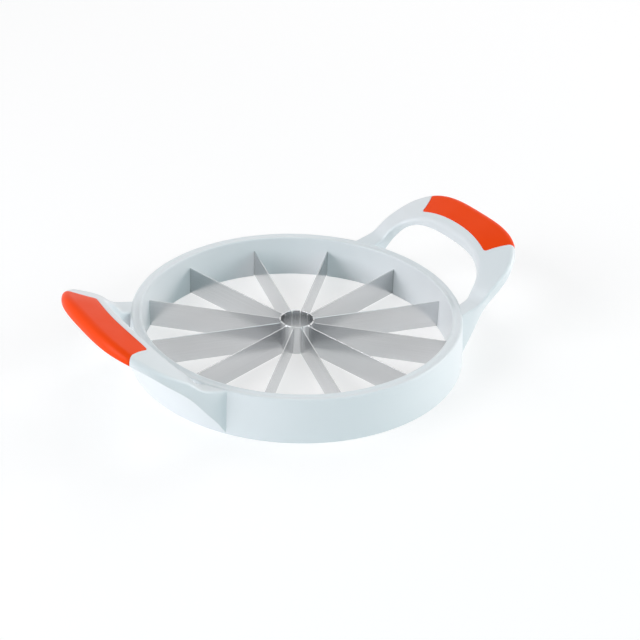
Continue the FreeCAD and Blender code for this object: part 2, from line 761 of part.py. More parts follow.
def handle_pieces():
    """The right handle's shell, grip, cover and screws."""
    skin = loop("handle_skin", Station.whole)
    under = loop("handle_under_grip", Station.under_grip)
    hollow = loop("handle_hollow", Station.hollow)
    cover_blank = loop("cover_loop", Station.cover)
    grip = common("right_grip", cut("grip_layer", skin, under), grip_zone())
    grip.Label = "right_grip"

    seat = size["cover_recess"] + size["cover_thickness"] - size["cover_boss_seat"]
    head_seat = size["cover_recess"] + size["screw_head_height"]
    roof = size["bar_outer_depth"] + PAST
    bosses, holes, seats, screws = [], [], [], []
    for side, word in ((-1.0, "near"), (1.0, "far")):
        stand = CoverScrew(side)
        bosses.append(stand.cylinder(f"cover_boss_{word}", size["cover_boss_radius"], seat, roof))
        holes.append(stand.cylinder(f"cover_hole_{word}", screw_hole_radius, seat - PAST,
                                    head_seat - seat + PAST + size["cover_screw_length"] + size["fit_gap"]))
        seats.append(stand.cylinder(f"cover_seat_{word}", size["screw_head_radius"] + size["fit_gap"],
                                    head_seat - PAST, PAST))
        body = screw(f"cover_screw_{word}", size["cover_screw_length"])
        stand.stand(body, head_seat)
        screws.append(body)
    boss_pair = fuse("cover_bosses", bosses)
    hole_pair = fuse("cover_holes", holes)
    room = cut("handle_room", hollow, boss_pair)
    bare = cut("handle_bare", skin, grip)
    shell = cut("right_handle_shell", cut("handle_open", bare, room), hole_pair)

    span = doc.addObject("Part::Box", "cover_span")
    bind(span, Length=bar_x, Width=size["cover_half_length"] * 2, Height=bar_outer_top)
    place(span, 0, -size["cover_half_length"], 0)
    cover_whole = common("cover_whole", cover_blank, span)
    cover = cut("right_handle_cover", cover_whole, fuse("cover_cuts", [boss_pair, hole_pair] + seats))
    cover.Label = "right_handle_cover"
    return shell, grip, cover, group("right_cover_screws", screws)


def build():
    """Make every sub-part, and return them in the order that they are written."""
    ring = ring_shell()
    open_shell, grip, cover, screws = handle_pieces()
    inside = doc.addObject("Part::Cone", "inside_ring")
    half_wall = size["ring_wall"] / 2
    bind(inside, Radius1=foot_radius - half_wall, Radius2=size["ring_radius"] - half_wall,
         Height=size["ring_height"])
    shell = cut("right_handle_trimmed", open_shell, inside)
    left = (1, 0, 0)
    left_shell = mirror("left_handle_shell", shell, left)
    frame = fuse("frame", [ring, shell, left_shell])
    frame.Refine = True
    pieces = [frame, retaining_ring(), core_ring(), ring_screws()]
    pieces += [blade(number + 1) for number in range(BLADE_COUNT)]
    pieces += [grip, cover, screws]
    pieces += [mirror("left_grip", grip, left), mirror("left_handle_cover", cover, left),
               mirror("left_cover_screws", screws, left)]
    return pieces


def check(pieces):
    """Stop if any object failed, or any sub-part is empty, unsound or not in the pieces it should be."""
    for item in doc.Objects:
        if "Invalid" in item.State or "Error" in item.State:
            raise RuntimeError(f"{item.Name} failed: {item.State}")
    for item in pieces:
        if item.Shape.isNull() or not item.Shape.isValid():
            raise RuntimeError(f"{item.Label} has no sound shape")
        wanted = {"ring_screws": RING_SCREW_COUNT, "left_cover_screws": 2, "right_cover_screws": 2}
        if len(item.Shape.Solids) != wanted.get(item.Label, 1):
            raise RuntimeError(f"{item.Label} has {len(item.Shape.Solids)} solids")


def write(pieces):
    os.makedirs("parts", exist_ok=True)
    for item in pieces:
        item.Shape.exportStep(os.path.join("parts", f"{item.Label}.step"))
        box = item.Shape.BoundBox
        print(f"{item.Label}: {item.Shape.Volume / 1000:.2f} cm3, "
              f"X {box.XMin:.1f} to {box.XMax:.1f}, Y {box.YMin:.1f} to {box.YMax:.1f}, "
              f"Z {box.ZMin:.1f} to {box.ZMax:.1f}")


nodes = build()
doc.recompute()
check(nodes)
write(nodes)
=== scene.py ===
"""A melon slicer, dressed for a studio picture.

A white moulded ring carries twelve straight blades round a core tube, and two looped handles with
soft orange grips press it down over the fruit. The ring stands on z = 0 with its axis on Z, and the
handles lie along X. Sizes are in millimetres, and every mesh is written in metres.
"""

import logging
import math
from collections.abc import Callable, Sequence
from dataclasses import dataclass
from enum import Enum
from typing import NamedTuple

import bmesh
import bpy
import numpy as np
from mathutils import Matrix, Vector
from mathutils.geometry import delaunay_2d_cdt


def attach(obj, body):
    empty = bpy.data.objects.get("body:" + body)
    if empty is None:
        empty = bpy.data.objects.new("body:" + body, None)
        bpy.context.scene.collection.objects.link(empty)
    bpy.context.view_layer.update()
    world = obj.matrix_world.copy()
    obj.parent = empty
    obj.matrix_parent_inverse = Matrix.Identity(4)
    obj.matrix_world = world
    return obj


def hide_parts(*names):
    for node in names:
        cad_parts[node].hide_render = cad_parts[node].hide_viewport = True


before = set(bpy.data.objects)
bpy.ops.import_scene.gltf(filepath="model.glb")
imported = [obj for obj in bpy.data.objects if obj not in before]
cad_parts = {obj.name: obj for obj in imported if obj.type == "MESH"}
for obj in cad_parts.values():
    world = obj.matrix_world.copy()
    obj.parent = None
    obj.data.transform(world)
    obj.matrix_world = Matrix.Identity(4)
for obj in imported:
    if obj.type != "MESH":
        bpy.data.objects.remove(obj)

LOG = logging.getLogger("melon_slicer")
MM = 0.001
BODY = "root"
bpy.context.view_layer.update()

Item = bpy.types.Object
Material = bpy.types.Material
Socket = bpy.types.NodeSocket
Value = Socket | float | Sequence[float]
Face = tuple[int, ...]
Span = tuple[float, float]
Point2 = tuple[float, float]
Triple = tuple[float, float, float]
Colour = tuple[float, float, float, float]

# How far a cut runs past the face that it opens, in millimetres
PAST = 1.0
# Points nearer than this become one, in metres
WELD = 1e-7
# How often a range is halved in a search
HALVINGS = 46
# The range that smooth noise seldom leaves
SOFT_NOISE = (0.3, 0.7)
WHITE = (1.0, 1.0, 1.0, 1.0)


class Slot(Enum):
    """The record's material slots."""

    WHITE = "white_plastic"
    CLAMP = "clamp_plastic"
    GRIP = "grip_rubber"
    BLADE = "blade_steel"
    SCREW = "screw_steel"


class Join(Enum):
    """How two closed meshes are put together."""

    ADD = "UNION"
    TAKE_AWAY = "DIFFERENCE"
    OVERLAP = "INTERSECT"


class Side(Enum):
    """The side of the ring that a handle stands on."""

    LEFT = -1.0
    RIGHT = 1.0

    @property
    def word(self) -> str:
        """The side's name as the pieces use it."""
        return self.name.lower()


@dataclass(frozen=True)
class Spacing:
    """Places that lie evenly about Z: their number, and the first one's angle in degrees."""

    count: int
    first_angle: float = 0.0

    def inputs(self, material: Material) -> dict[str, float | Material]:
        """The named inputs of a tree that repeats a shape at these places."""
        return {"Count": self.count, "First Angle": math.radians(self.first_angle), "Material": material}


BLADE_PLACES = Spacing(12, 15.0)
SCREW_PLACES = Spacing(6)


# Sizes that several sub-assemblies share


@dataclass(frozen=True)
class RingSizes:
    """The moulded ring, in millimetres."""

    radius: float = 140.0
    flare: float = 3.0
    height: float = 38.3
    wall: float = 2.8
    rim_width: float = 9.0
    rim_thickness: float = 3.4
    shoulder: float = 2.2
    dish: float = 0.8
    dish_round: float = 5.0
    shoulder_round: float = 2.0
    rim_round: float = 1.5
    edge_round: float = 0.5
    inner_wall: float = 2.4
    boss_radius: float = 3.0
    boss_sink: float = 0.4
    clamp_foot: float = 2.2
    clamp_flange: float = 3.0
    fit_gap: float = 0.15
    root_sink: float = 0.2

    @property
    def inner_radius(self) -> float:
        """Radius of the wall inside the rim."""
        return self.radius - self.rim_width

    @property
    def inner_wall_back(self) -> float:
        """Radius of the hidden side of that wall."""
        return self.inner_radius + self.inner_wall

    @property
    def foot_radius(self) -> float:
        """Outer radius of the ring's foot."""
        return self.radius + self.flare

    @property
    def rim_underside(self) -> float:
        """Height of the rim's underside."""
        return self.height - self.rim_thickness

    @property
    def boss_circle(self) -> float:
        """Radius of the circle that the screws stand on."""
        return self.inner_wall_back + self.boss_radius - self.boss_sink

    @property
    def flange_top(self) -> float:
        """Height of the top of the clamp ring's flange."""
        return self.clamp_foot + self.clamp_flange


@dataclass(frozen=True)
class BladeSizes:
    """One blade and the slots it sits in, in millimetres."""

    thickness: float = 0.8
    clearance: float = 0.1
    foot: float = 1.0
    height: float = 25.0
    bevel: float = 4.0
    edge: float = 0.12
    top_round: float = 0.15
    tab_length: float = 10.0
    bend_round: float = 1.0

    @property
    def top(self) -> float:
        """Height of the blade's back above the table."""
        return self.foot + self.height

    @property
    def bevel_top(self) -> float:
        """Height of the top of the ground bevel."""
        return self.foot + self.bevel

    @property
    def half(self) -> float:
        """Half the blade's thickness."""
        return self.thickness / 2.0

    @property
    def slot_half(self) -> float:
        """Half the width of a slot for the blade."""
        return self.half + self.clearance


@dataclass(frozen=True)
class CoreSizes:
    """The tube that the blades meet at, in millimetres."""

    radius: float = 15.0
    wall: float = 1.4
    height: float = 27.0
    bevel: float = 4.0
    edge: float = 0.2
    slot_depth: float = 14.0
    top_round: float = 0.3


@dataclass(frozen=True)
class ScrewSizes:
    """One screw, in millimetres."""

    length: float
    radius: float = 1.4
    head_radius: float = 2.4
    head_height: float = 1.2
    head_round: float = 0.45
    head_edge_round: float = 0.1
    point: float = 1.2
    point_round: float = 0.3
    recess_reach: float = 1.4
    recess_half: float = 0.35
    recess_depth: float = 0.7
    segments: int = 48


RING = RingSizes()
BLADE = BladeSizes()
CORE = CoreSizes()


# Trees of nodes


class Graph:
    """Adds nodes to a tree and joins them up."""

    def __init__(self, tree: bpy.types.NodeTree) -> None:
        """Start on an empty tree."""
        self.tree = tree

    def add(self, kind: str, inputs: dict | None = None, output: str | int = 0,
            **settings: str) -> Socket | None:
        """Add a node.

        Args:
            kind: the node's type.
            inputs: values, or sockets to join, by the input's name or number.
            output: the name or number of the output that is wanted.
            settings: the node's own properties.

        Returns:
            That output, or None for a node without outputs.
        """
        node = self.tree.nodes.new(kind)
        for name, value in settings.items():
            setattr(node, name, value)
        for key, value in (inputs or {}).items():
            self.feed(node.inputs[key], value)
        return node.outputs[output] if node.outputs else None

    def feed(self, socket: Socket, value: Value) -> None:
        """Set an input to a value, or join it to another node's output.

        Args:
            socket: the input.
            value: the value or the output.
        """
        if isinstance(value, Socket):
            self.tree.links.new(value, socket)
        else:
            socket.default_value = value

    def maths(self, operation: str, first: Value, second: Value) -> Socket:
        """The result of a Math node on two values or sockets."""
        return self.add("ShaderNodeMath", {0: first, 1: second}, operation=operation)


class GeometryTree(Graph):
    """A Geometry Nodes tree with named inputs, which ends in plain faces with a material."""

    def __init__(self, name: str, inputs: dict[str, str]) -> None:
        """Make the tree's sockets.

        Args:
            name: the tree's name.
            inputs: the kind of each named input, after the geometry itself.
        """
        super().__init__(bpy.data.node_groups.new(name, "GeometryNodeTree"))
        new_socket = self.tree.interface.new_socket
        for label, kind in {"Geometry": "Geometry", **inputs, "Material": "Material"}.items():
            new_socket(label, in_out="INPUT", socket_type=f"NodeSocket{kind}")
        new_socket("Geometry", in_out="OUTPUT", socket_type="NodeSocketGeometry")
        self.inlet = self.add("NodeGroupInput").node.outputs

    def end(self, geometry: Socket) -> None:
        """Close the tree.

        Args:
            geometry: its result, which becomes real faces with the material.
        """
        real = self.add("GeometryNodeRealizeInstances", {0: geometry})
        dressed = self.add("GeometryNodeSetMaterial", {0: real, "Material": self.inlet["Material"]})
        self.add("NodeGroupOutput", {0: dressed})

    def round_z(self, geometry: Socket) -> Socket:
        """Repeat a geometry evenly about Z, by the inputs Count and First Angle.

        Args:
            geometry: what is repeated, in its place at angle zero.

        Returns:
            The copies.
        """
        count = self.inlet["Count"]
        spots = self.add("GeometryNodePoints", {"Count": count})
        step = self.maths("DIVIDE", math.tau, count)
        turned = self.maths("MULTIPLY", self.add("GeometryNodeInputIndex"), step)
        angle = self.maths("ADD", turned, self.inlet["First Angle"])
        turn = self.add("ShaderNodeCombineXYZ", {"Z": angle})
        inputs = {"Points": spots, "Instance": geometry, "Rotation": turn}
        return self.add("GeometryNodeInstanceOnPoints", inputs)

    def apply(self, host: Item, values: dict[str, float | Item | Material]) -> None:
        """Run the tree on an object and keep the result as its plain mesh.

        Args:
            host: the object whose mesh the tree starts from.
            values: the named inputs.
        """
        modifier = host.modifiers.new(self.tree.name, "NODES")
        modifier.node_group = self.tree
        for item in self.tree.interface.items_tree:
            if item.in_out == "INPUT" and item.name in values:
                modifier[item.identifier] = values[item.name]
        bake(host)


def lathe_tree() -> GeometryTree:
    """A tree that turns a closed profile about Z.

    The profile's X is the distance outwards from Radius, and its Y is the height downwards.

    Returns:
        The tree, with the inputs Radius and Segments.
    """
    tree = GeometryTree("turned_about_z", {"Radius": "Float", "Segments": "Int"})
    profile = tree.add("GeometryNodeMeshToCurve", {0: tree.inlet["Geometry"]})
    path = tree.add("GeometryNodeCurvePrimitiveCircle",
                    {"Resolution": tree.inlet["Segments"], "Radius": tree.inlet["Radius"]})
    tree.end(tree.add("GeometryNodeCurveToMesh", {0: path, 1: profile}))
    return tree


def copies_tree() -> GeometryTree:
    """A tree that repeats a shape evenly about Z.

    Returns:
        The tree, with the inputs Count and First Angle.
    """
    tree = GeometryTree("evenly_about_z", {"Count": "Int", "First Angle": "Float"})
    tree.end(tree.round_z(tree.inlet["Geometry"]))
    return tree


def joined_tree(name: str, join: Join) -> GeometryTree:
    """A tree that adds or takes away a shape, repeated evenly about Z.

    Args:
        name: the tree's name.
        join: what is done with the copies.

    Returns:
        The tree, with the inputs Shape, Count and First Angle.
    """
    tree = GeometryTree(name, {"Shape": "Object", "Count": "Int", "First Angle": "Float"})
    shape = tree.add("GeometryNodeObjectInfo", {"Object": tree.inlet["Shape"]}, "Geometry")
    real = tree.add("GeometryNodeRealizeInstances", {0: tree.round_z(shape)})
    merged = tree.add("GeometryNodeMeshBoolean", operation=join.value, solver="MANIFOLD")
    meshes = merged.node.inputs
    tree.feed(meshes["Mesh 1" if join is Join.TAKE_AWAY else "Mesh 2"], tree.inlet["Geometry"])
    tree.feed(meshes["Mesh 2"], real)
    tree.end(merged)
    return tree


# Meshes


def unit(rows: np.ndarray) -> np.ndarray:
    """Vectors scaled to length one."""
    return rows / np.linalg.norm(rows, axis=-1, keepdims=True)


def placed(name: str, data: bpy.types.ID) -> Item:
    """Put a new object into the scene.

    Args:
        name: the object's name.
        data: its mesh, lamp or camera.

    Returns:
        The object, at the origin.
    """
    item = bpy.data.objects.new(name, data)
    bpy.context.scene.collection.objects.link(item)
    return item


def new_object(name: str, points: Sequence[Sequence[float]], faces: Sequence[Face] = (),
               edges: Sequence[Face] = ()) -> Item:
    """Make an object from coordinates in millimetres.

    Args:
        name: the object's name.
        points: the points.
        faces: the faces, as numbers of points.
        edges: the edges, for a profile that has no faces.

    Returns:
        The object, at the origin.
    """
    mesh = bpy.data.meshes.new(name)
    scaled = np.asarray(points, float) * MM
    mesh.from_pydata(scaled.tolist(), list(edges), list(faces))
    return placed(name, mesh)


def bake(item: Item) -> None:
    """Keep an object's evaluated mesh as its own, and drop its modifiers.

    Args:
        item: the object.
    """
    bpy.context.view_layer.update()
    ready = item.evaluated_get(bpy.context.evaluated_depsgraph_get())
    mesh = bpy.data.meshes.new_from_object(ready)
    item.modifiers.clear()
    old = item.data
    item.data = mesh
    mesh.name = item.name
    bpy.data.meshes.remove(old)


def face_outwards(item: Item) -> Item:
    """Merge doubled points and point every face outwards.

    Args:
        item: an object with a closed mesh.

    Returns:
        The same object.
    """
    work = bmesh.new()
    work.from_mesh(item.data)
    bmesh.ops.remove_doubles(work, verts=work.verts, dist=WELD)
    bmesh.ops.recalc_face_normals(work, faces=work.faces)
    work.to_mesh(item.data)
    work.free()
    return item


def combine(item: Item, other: Item, join: Join) -> None:
    """Add a closed mesh to another or take it away, and use it up.

    Args:
        item: the object that is changed.
        other: the object that is used up.
        join: what is done.
    """
    modifier = item.modifiers.new("joined", "BOOLEAN")
    modifier.operation = join.value
    modifier.solver = "MANIFOLD"
    modifier.object = other
    bake(item)
    discard(other)


def discard(item: Item) -> None:
    """Remove an object's mesh, and the object with it."""
    bpy.data.meshes.remove(item.data)


def shade(item: Item, angle: float = 32.0) -> Item:
    """Shade an object smoothly, apart from its sharp edges.

    Args:
        item: the object.
        angle: the least angle of a sharp edge, in degrees.

    Returns:
        The same object.
    """
    mesh = item.data
    mesh.polygons.foreach_set("use_smooth", [True] * len(mesh.polygons))
    mesh.set_sharp_from_angle(angle=math.radians(angle))
    return item


def mirrored(item: Item, name: str) -> Item:
    """Copy an object to the other side of the YZ plane, with its faces outwards.

    Args:
        item: the object.
        name: the copy's name.

    Returns:
        The copy.
    """
    mesh = item.data.copy()
    mesh.transform(Matrix.Scale(-1.0, 4, Vector((1.0, 0.0, 0.0))))
    mesh.flip_normals()
    mesh.name = name
    return placed(name, mesh)


def rounded(corners: Sequence[Triple], steps: int = 6) -> list[Point2]:
    """Round the corners of a closed outline.

    Args:
        corners: the corners, each with its radius.
        steps: the number of lines in each rounding.

    Returns:
        The outline's points.
    """
    points: list[Point2] = []
    for i, (x, y, radius) in enumerate(corners):
        if radius <= 0.0:
            points.append((x, y))
            continue
        here = np.array((x, y))
        back = unit(np.array(corners[i - 1][:2]) - here)
        ahead = unit(np.array(corners[(i + 1) % len(corners)][:2]) - here)
        half = math.acos(float(np.clip(back @ ahead, -1.0, 1.0))) / 2.0
        centre = here + unit(back + ahead) * radius / math.sin(half)
        start = here + back * radius / math.tan(half) - centre
        sweep = math.copysign(math.pi - 2.0 * half, back[1] * ahead[0] - back[0] * ahead[1])
        for step in range(steps + 1):
            a = sweep * step / steps
            points.append((float(centre[0] + start[0] * math.cos(a) - start[1] * math.sin(a)),
                           float(centre[1] + start[0] * math.sin(a) + start[1] * math.cos(a))))
    return points


def box_outline(low: Point2, high: Point2) -> list[Point2]:
    """The four corners of a rectangle."""
    return [low, (high[0], low[1]), high, (low[0], high[1])]


def disc_outline(radius: float, centre: float = 0.0, segments: int = 48) -> list[Point2]:
    """Points round a circle whose centre lies on X."""
    return [(centre + radius * math.cos(math.tau * i / segments),
             radius * math.sin(math.tau * i / segments)) for i in range(segments)]


def flat_ring(outline: Sequence[Point2], height: float) -> list[Triple]:
    """An outline in plan, laid at a height."""
    return [(x, y, height) for x, y in outline]


def band(first: int, second: int, count: int) -> list[Face]:
    """The faces between two rings of points, which start at these two points."""
    return [(first + i, first + (i + 1) % count, second + (i + 1) % count, second + i) for i in range(count)]


def lofted(name: str, rings: Sequence[Sequence[Sequence[float]]]) -> Item:
    """Make a closed solid through rings of points, with a flat face at each end.

    Args:
        name: the object's name.
        rings: the rings, with as many points each.

    Returns:
        The solid.
    """
    count, last = len(rings[0]), len(rings[0]) * (len(rings) - 1)
    faces = [face for start in range(0, last, count) for face in band(start, start + count, count)]
    faces += [tuple(range(count)), tuple(reversed(range(last, last + count)))]
    return face_outwards(new_object(name, np.concatenate(rings), faces))


def prism(name: str, outline: Sequence[Point2], low: float, high: float) -> Item:
    """Make a closed upright prism over an outline in plan, from one height to another."""
    return lofted(name, (flat_ring(outline, low), flat_ring(outline, high)))


def turned(name: str, profile: Sequence[Point2], radius: float, segments: int,
           material: Material, closed: bool = True) -> Item:
    """Turn a profile about Z.

    Args:
        name: the object's name.
        profile: its points, as distance from the axis and height.
        radius: a distance from the axis inside the profile's range.
        segments: the number of faces round the axis.
        material: the finish.
        closed: whether the profile's ends are joined; if not, they lie on the axis.

    Returns:
        The closed solid.
    """
    points = [(r - radius, -z, 0.0) for r, z in profile]
    edges = [(i, (i + 1) % len(points)) for i in range(len(points) - (0 if closed else 1))]
    host = new_object(name, points, edges=edges)
    lathe_tree().apply(host, {"Radius": radius * MM, "Segments": segments, "Material": material})
    return face_outwards(host)


@dataclass(frozen=True)
class Feature:
    """Upright bosses or cuts that lie evenly about Z."""

    name: str
    places: Spacing
    outline: Sequence[Point2]
    low: float
    high: float
    join: Join = Join.TAKE_AWAY

    def work(self, item: Item, material: Material) -> None:
        """Add the bosses to an object, or cut it.

        Args:
            item: the object.
            material: its finish.
        """
        shape = prism(self.name, self.outline, self.low, self.high)
        tree = joined_tree(f"{self.name}_{self.join.name.lower()}", self.join)
        tree.apply(item, {"Shape": shape, **self.places.inputs(material)})
        discard(shape)


def finish_piece(item: Item, slot: Slot, nodes: Sequence[str], material: Material) -> None:
    """Dress a finished piece and let it stand for its CAD nodes.

    Args:
        item: the piece.
        slot: the record's slot for the piece; it is not used.
        nodes: the CAD nodes that it replaces.
        material: the finish.
    """
    item.data.materials.clear()
    item.data.materials.append(material)
    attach(item, BODY)
    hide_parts(*nodes)
    places = np.empty(len(item.data.vertices) * 3)
    item.data.vertices.foreach_get("co", places)
    places = (places.reshape(-1, 3) / MM).round(1)
    LOG.info("%s: %d faces, %s to %s mm", item.name, len(item.data.polygons),
             places.min(0).tolist(), places.max(0).tolist())


# Finishes


class ShaderTree(Graph):
    """The tree of a new material or world."""

    def __init__(self, owner: Material | bpy.types.World) -> None:
        """Empty the tree.

        Args:
            owner: the material or world.
        """
        owner.use_nodes = True
        super().__init__(owner.node_tree)
        self.tree.nodes.clear()


class FinishTree(ShaderTree):
    """A material's tree, with its shader and its Object coordinates at hand."""

    def __init__(self, name: str) -> None:
        """Make the material with a plain Principled shader.

        Args:
            name: the material's name.
        """
        self.material = bpy.data.materials.new(name)
        super().__init__(self.material)
        shader = self.add("ShaderNodeBsdfPrincipled")
        self.shader = shader.node
        self.add("ShaderNodeOutputMaterial", {"Surface": shader})
        self.place = self.add("ShaderNodeTexCoord", output="Object")

    def axes(self) -> Sequence[Socket]:
        """The three coordinates."""
        return self.add("ShaderNodeSeparateXYZ", {0: self.place}).node.outputs

    def noise(self, scale: float, detail: float = 3.0, roughness: float = 0.5,
              vector: Socket | None = None) -> Socket:
        """Noise from 0 to 1, with so many waves to the metre of the Object coordinates, or of a vector."""
        inputs ={"Vector": vector or self.place, "Scale": scale, "Detail": detail, "Roughness": roughness}
        return self.add("ShaderNodeTexNoise", inputs, "Fac")

    def lines(self, place: Sequence[Socket], waves: Sequence[float]) -> Socket:
        """Make noise that is drawn out into fine lines.

        Args:
            place: the three coordinates that it follows.
            waves: the number of waves to one unit of each.

        Returns:
            The noise.
        """
        stretched =(self.maths("MULTIPLY", axis, wave) for axis, wave in zip(place, waves))
        vector = self.add("ShaderNodeCombineXYZ", dict(enumerate(stretched)))
        return self.noise(1.0, roughness=0.6, vector=vector)

    def between(self, value: Socket, to: Span = (0.0, 1.0), source: Span = SOFT_NOISE) -> Socket:
        """Map a value from one range to another."""
        ends = dict(zip(("From Min", "From Max", "To Min", "To Max"), source + to))
        return self.add("ShaderNodeMapRange", {"Value": value, **ends}, "Result")

    def blend(self, share: Value, first: Value, second: Value) -> Socket:
        """Mix two colours, which are a Mix node's inputs 6 and 7 and its output 2."""
        return self.add("ShaderNodeMix", {0: share, 6: first, 7: second}, 2, data_type="RGBA")

    def bump(self, height: Socket, depth: float, strength: float, under: Socket | None = None) -> Socket:
        """Bump the surface's normal.

        Args:
            height: the relief, from 0 to 1.
            depth: its depth in millimetres.
            strength: how much of it shows.
            under: the normal that it lies on.

        Returns:
            The normal.
        """
        inputs = {"Height": height, "Distance": depth * MM, "Strength": strength}
        if under is not None:
            inputs["Normal"] = under
        return self.add("ShaderNodeBump", inputs, "Normal")

    def dress(self, inputs: dict[str, Value]) -> Material:
        """Set or join the shader's inputs.

        Args:
            inputs: the values or sockets, by the input's name.

        Returns:
            The material.
        """
        for name, value in inputs.items():
            self.feed(self.shader.inputs[name], value)
        return self.material


@dataclass(frozen=True)
class Relief:
    """One layer of fine relief: its waves to the metre, depth in millimetres and strength."""

    scale: float
    depth: float
    strength: float


@dataclass(frozen=True)
class Moulded:
    """A moulded surface: faint flow clouds, an even gloss and a fine relief in layers."""

    name: str
    colour: Colour
    shaded: Colour
    roughness: Span
    relief: tuple[Relief, ...]
    refraction: float
    sheen: float
    cloud_scale: float
    gloss_scale: float

    def tone(self, graph: FinishTree) -> Socket:
        """The surface's clouded colour."""
        clouds = graph.between(graph.noise(self.cloud_scale, detail=4.0))
        return graph.blend(clouds, self.shaded, self.colour)

    def make(self) -> Material:
        """Build the material.

        Returns:
            The material.
        """
        graph, normal = FinishTree(self.name), None
        for layer in self.relief:
            waves = graph.noise(layer.scale, detail=2.0)
            normal = graph.bump(waves, layer.depth, layer.strength, normal)
        return graph.dress({
            "Base Color": self.tone(graph),
            "Roughness": graph.between(graph.noise(self.gloss_scale), self.roughness),
            "IOR": self.refraction, "Specular IOR Level": self.sheen, "Normal": normal})


@dataclass(frozen=True)
class WhitePlastic(Moulded):
    """White plastic with a fine orange peel and sparse tiny specks."""

    colour: Colour = (0.80, 0.838, 0.856, 1.0)
    shaded: Colour = (0.788, 0.829, 0.849, 1.0)
    roughness: Span = (0.29, 0.33)
    relief: tuple[Relief, ...] = (Relief(700.0, 0.004, 0.3),)
    refraction: float = 1.5
    sheen: float = 0.5
    cloud_scale: float = 9.0
    gloss_scale: float = 40.0
    speck: Colour = (0.70, 0.745, 0.765, 1.0)
    speck_scale: float = 1300.0
    speck_range: Span = (0.74, 0.8)
    speck_strength: float = 0.5

    def tone(self, graph: FinishTree) -> Socket:
        """Add the specks to the clouded colour.

        Args:
            graph: the material's tree.

        Returns:
            The colour.
        """
        dust = graph.noise(self.speck_scale, detail=1.0)
        specks = graph.between(dust, (0.0, self.speck_strength), self.speck_range)
        return graph.blend(specks, super().tone(graph), self.speck)


@dataclass(frozen=True)
class MattPlastic(WhitePlastic):
    """The same plastic with a fine grain over the peel."""

    roughness: Span = (0.45, 0.55)
    relief: tuple[Relief, ...] = (Relief(700.0, 0.004, 0.3), Relief(3800.0, 0.02, 0.5))


@dataclass(frozen=True)
class SoftGrip(Moulded):
    """Orange soft moulding: a fine even grain and a broad low sheen."""

    colour: Colour = (0.97, 0.07, 0.004, 1.0)
    shaded: Colour = (0.94, 0.063, 0.003, 1.0)
    roughness: Span = (0.40, 0.46)
    relief: tuple[Relief, ...] = (Relief(2200.0, 0.008, 0.4), Relief(260.0, 0.008, 0.2))
    refraction: float = 1.45
    sheen: float = 0.18
    cloud_scale: float = 18.0
    gloss_scale: float = 60.0


@dataclass(frozen=True)
class Steel:
    """Bright steel with fine lines, which are brighter and smoother the higher they stand."""

    name: str
    colour: Colour = (0.60, 0.61, 0.62, 1.0)
    bright: Colour = (0.70, 0.71, 0.72, 1.0)
    roughness: Span = (0.29, 0.36)
    gloss_range: Span = (0.25, 0.75)
    line_depth: float = 0.01
    line_strength: float = 0.4

    def dress(self, graph: FinishTree, lines: Socket) -> Material:
        """Dress a material as this steel.

        Args:
            graph: the material's tree.
            lines: the lines' height, from 0 to 1.

        Returns:
            The material.
        """
        rough_to_smooth = (self.roughness[1], self.roughness[0])
        return graph.dress({
            "Base Color": graph.blend(graph.between(lines), self.colour, self.bright),
            "Metallic": 1.0,
            "Roughness": graph.between(lines, rough_to_smooth, self.gloss_range),
            "Normal": graph.bump(lines, self.line_depth, self.line_strength)})


@dataclass(frozen=True)
class BladeSteel(Steel):
    """Rolled stainless strip with its grain along the blade, and a bevel ground across it.

    The waves are counted outwards in metres, round in radians and upwards in metres.
    """

    colour: Colour = (0.62, 0.63, 0.64, 1.0)
    bright: Colour = (0.665, 0.675, 0.685, 1.0)
    roughness: Span = (0.2, 0.265)
    rolled_waves: Triple = (12.0, 3.0, 2600.0)
    ground_waves: Triple = (3000.0, 3.0, 60.0)

    def make(self) -> Material:
        """Build the material.

        Returns:
            The material.
        """
        graph = FinishTree(self.name)
        x, y, z = graph.axes()
        flat = graph.add("ShaderNodeCombineXYZ", {"X": x, "Y": y})
        reach = graph.add("ShaderNodeVectorMath", {0: flat}, "Value", operation="LENGTH")
        place = (reach, graph.maths("ARCTAN2", y, x), z)
        rolled, ground = (graph.lines(place, waves) for waves in (self.rolled_waves, self.ground_waves))
        on_bevel = graph.maths("LESS_THAN", z, BLADE.bevel_top * MM)
        lines = graph.add("ShaderNodeMix", {0: on_bevel, 2: rolled, 3: ground}, data_type="FLOAT")
        return self.dress(graph, lines)


@dataclass(frozen=True)
class TurnedSteel(Steel):
    """Plated steel with fine turning marks round the Z axis, in waves to the metre along each axis."""

    mark_waves: Triple = (60.0, 60.0, 2400.0)

    def make(self) -> Material:
        """The material."""
        graph = FinishTree(self.name)
        return self.dress(graph, graph.lines(graph.axes(), self.mark_waves))


# Ring, blades, core tube and clamp ring


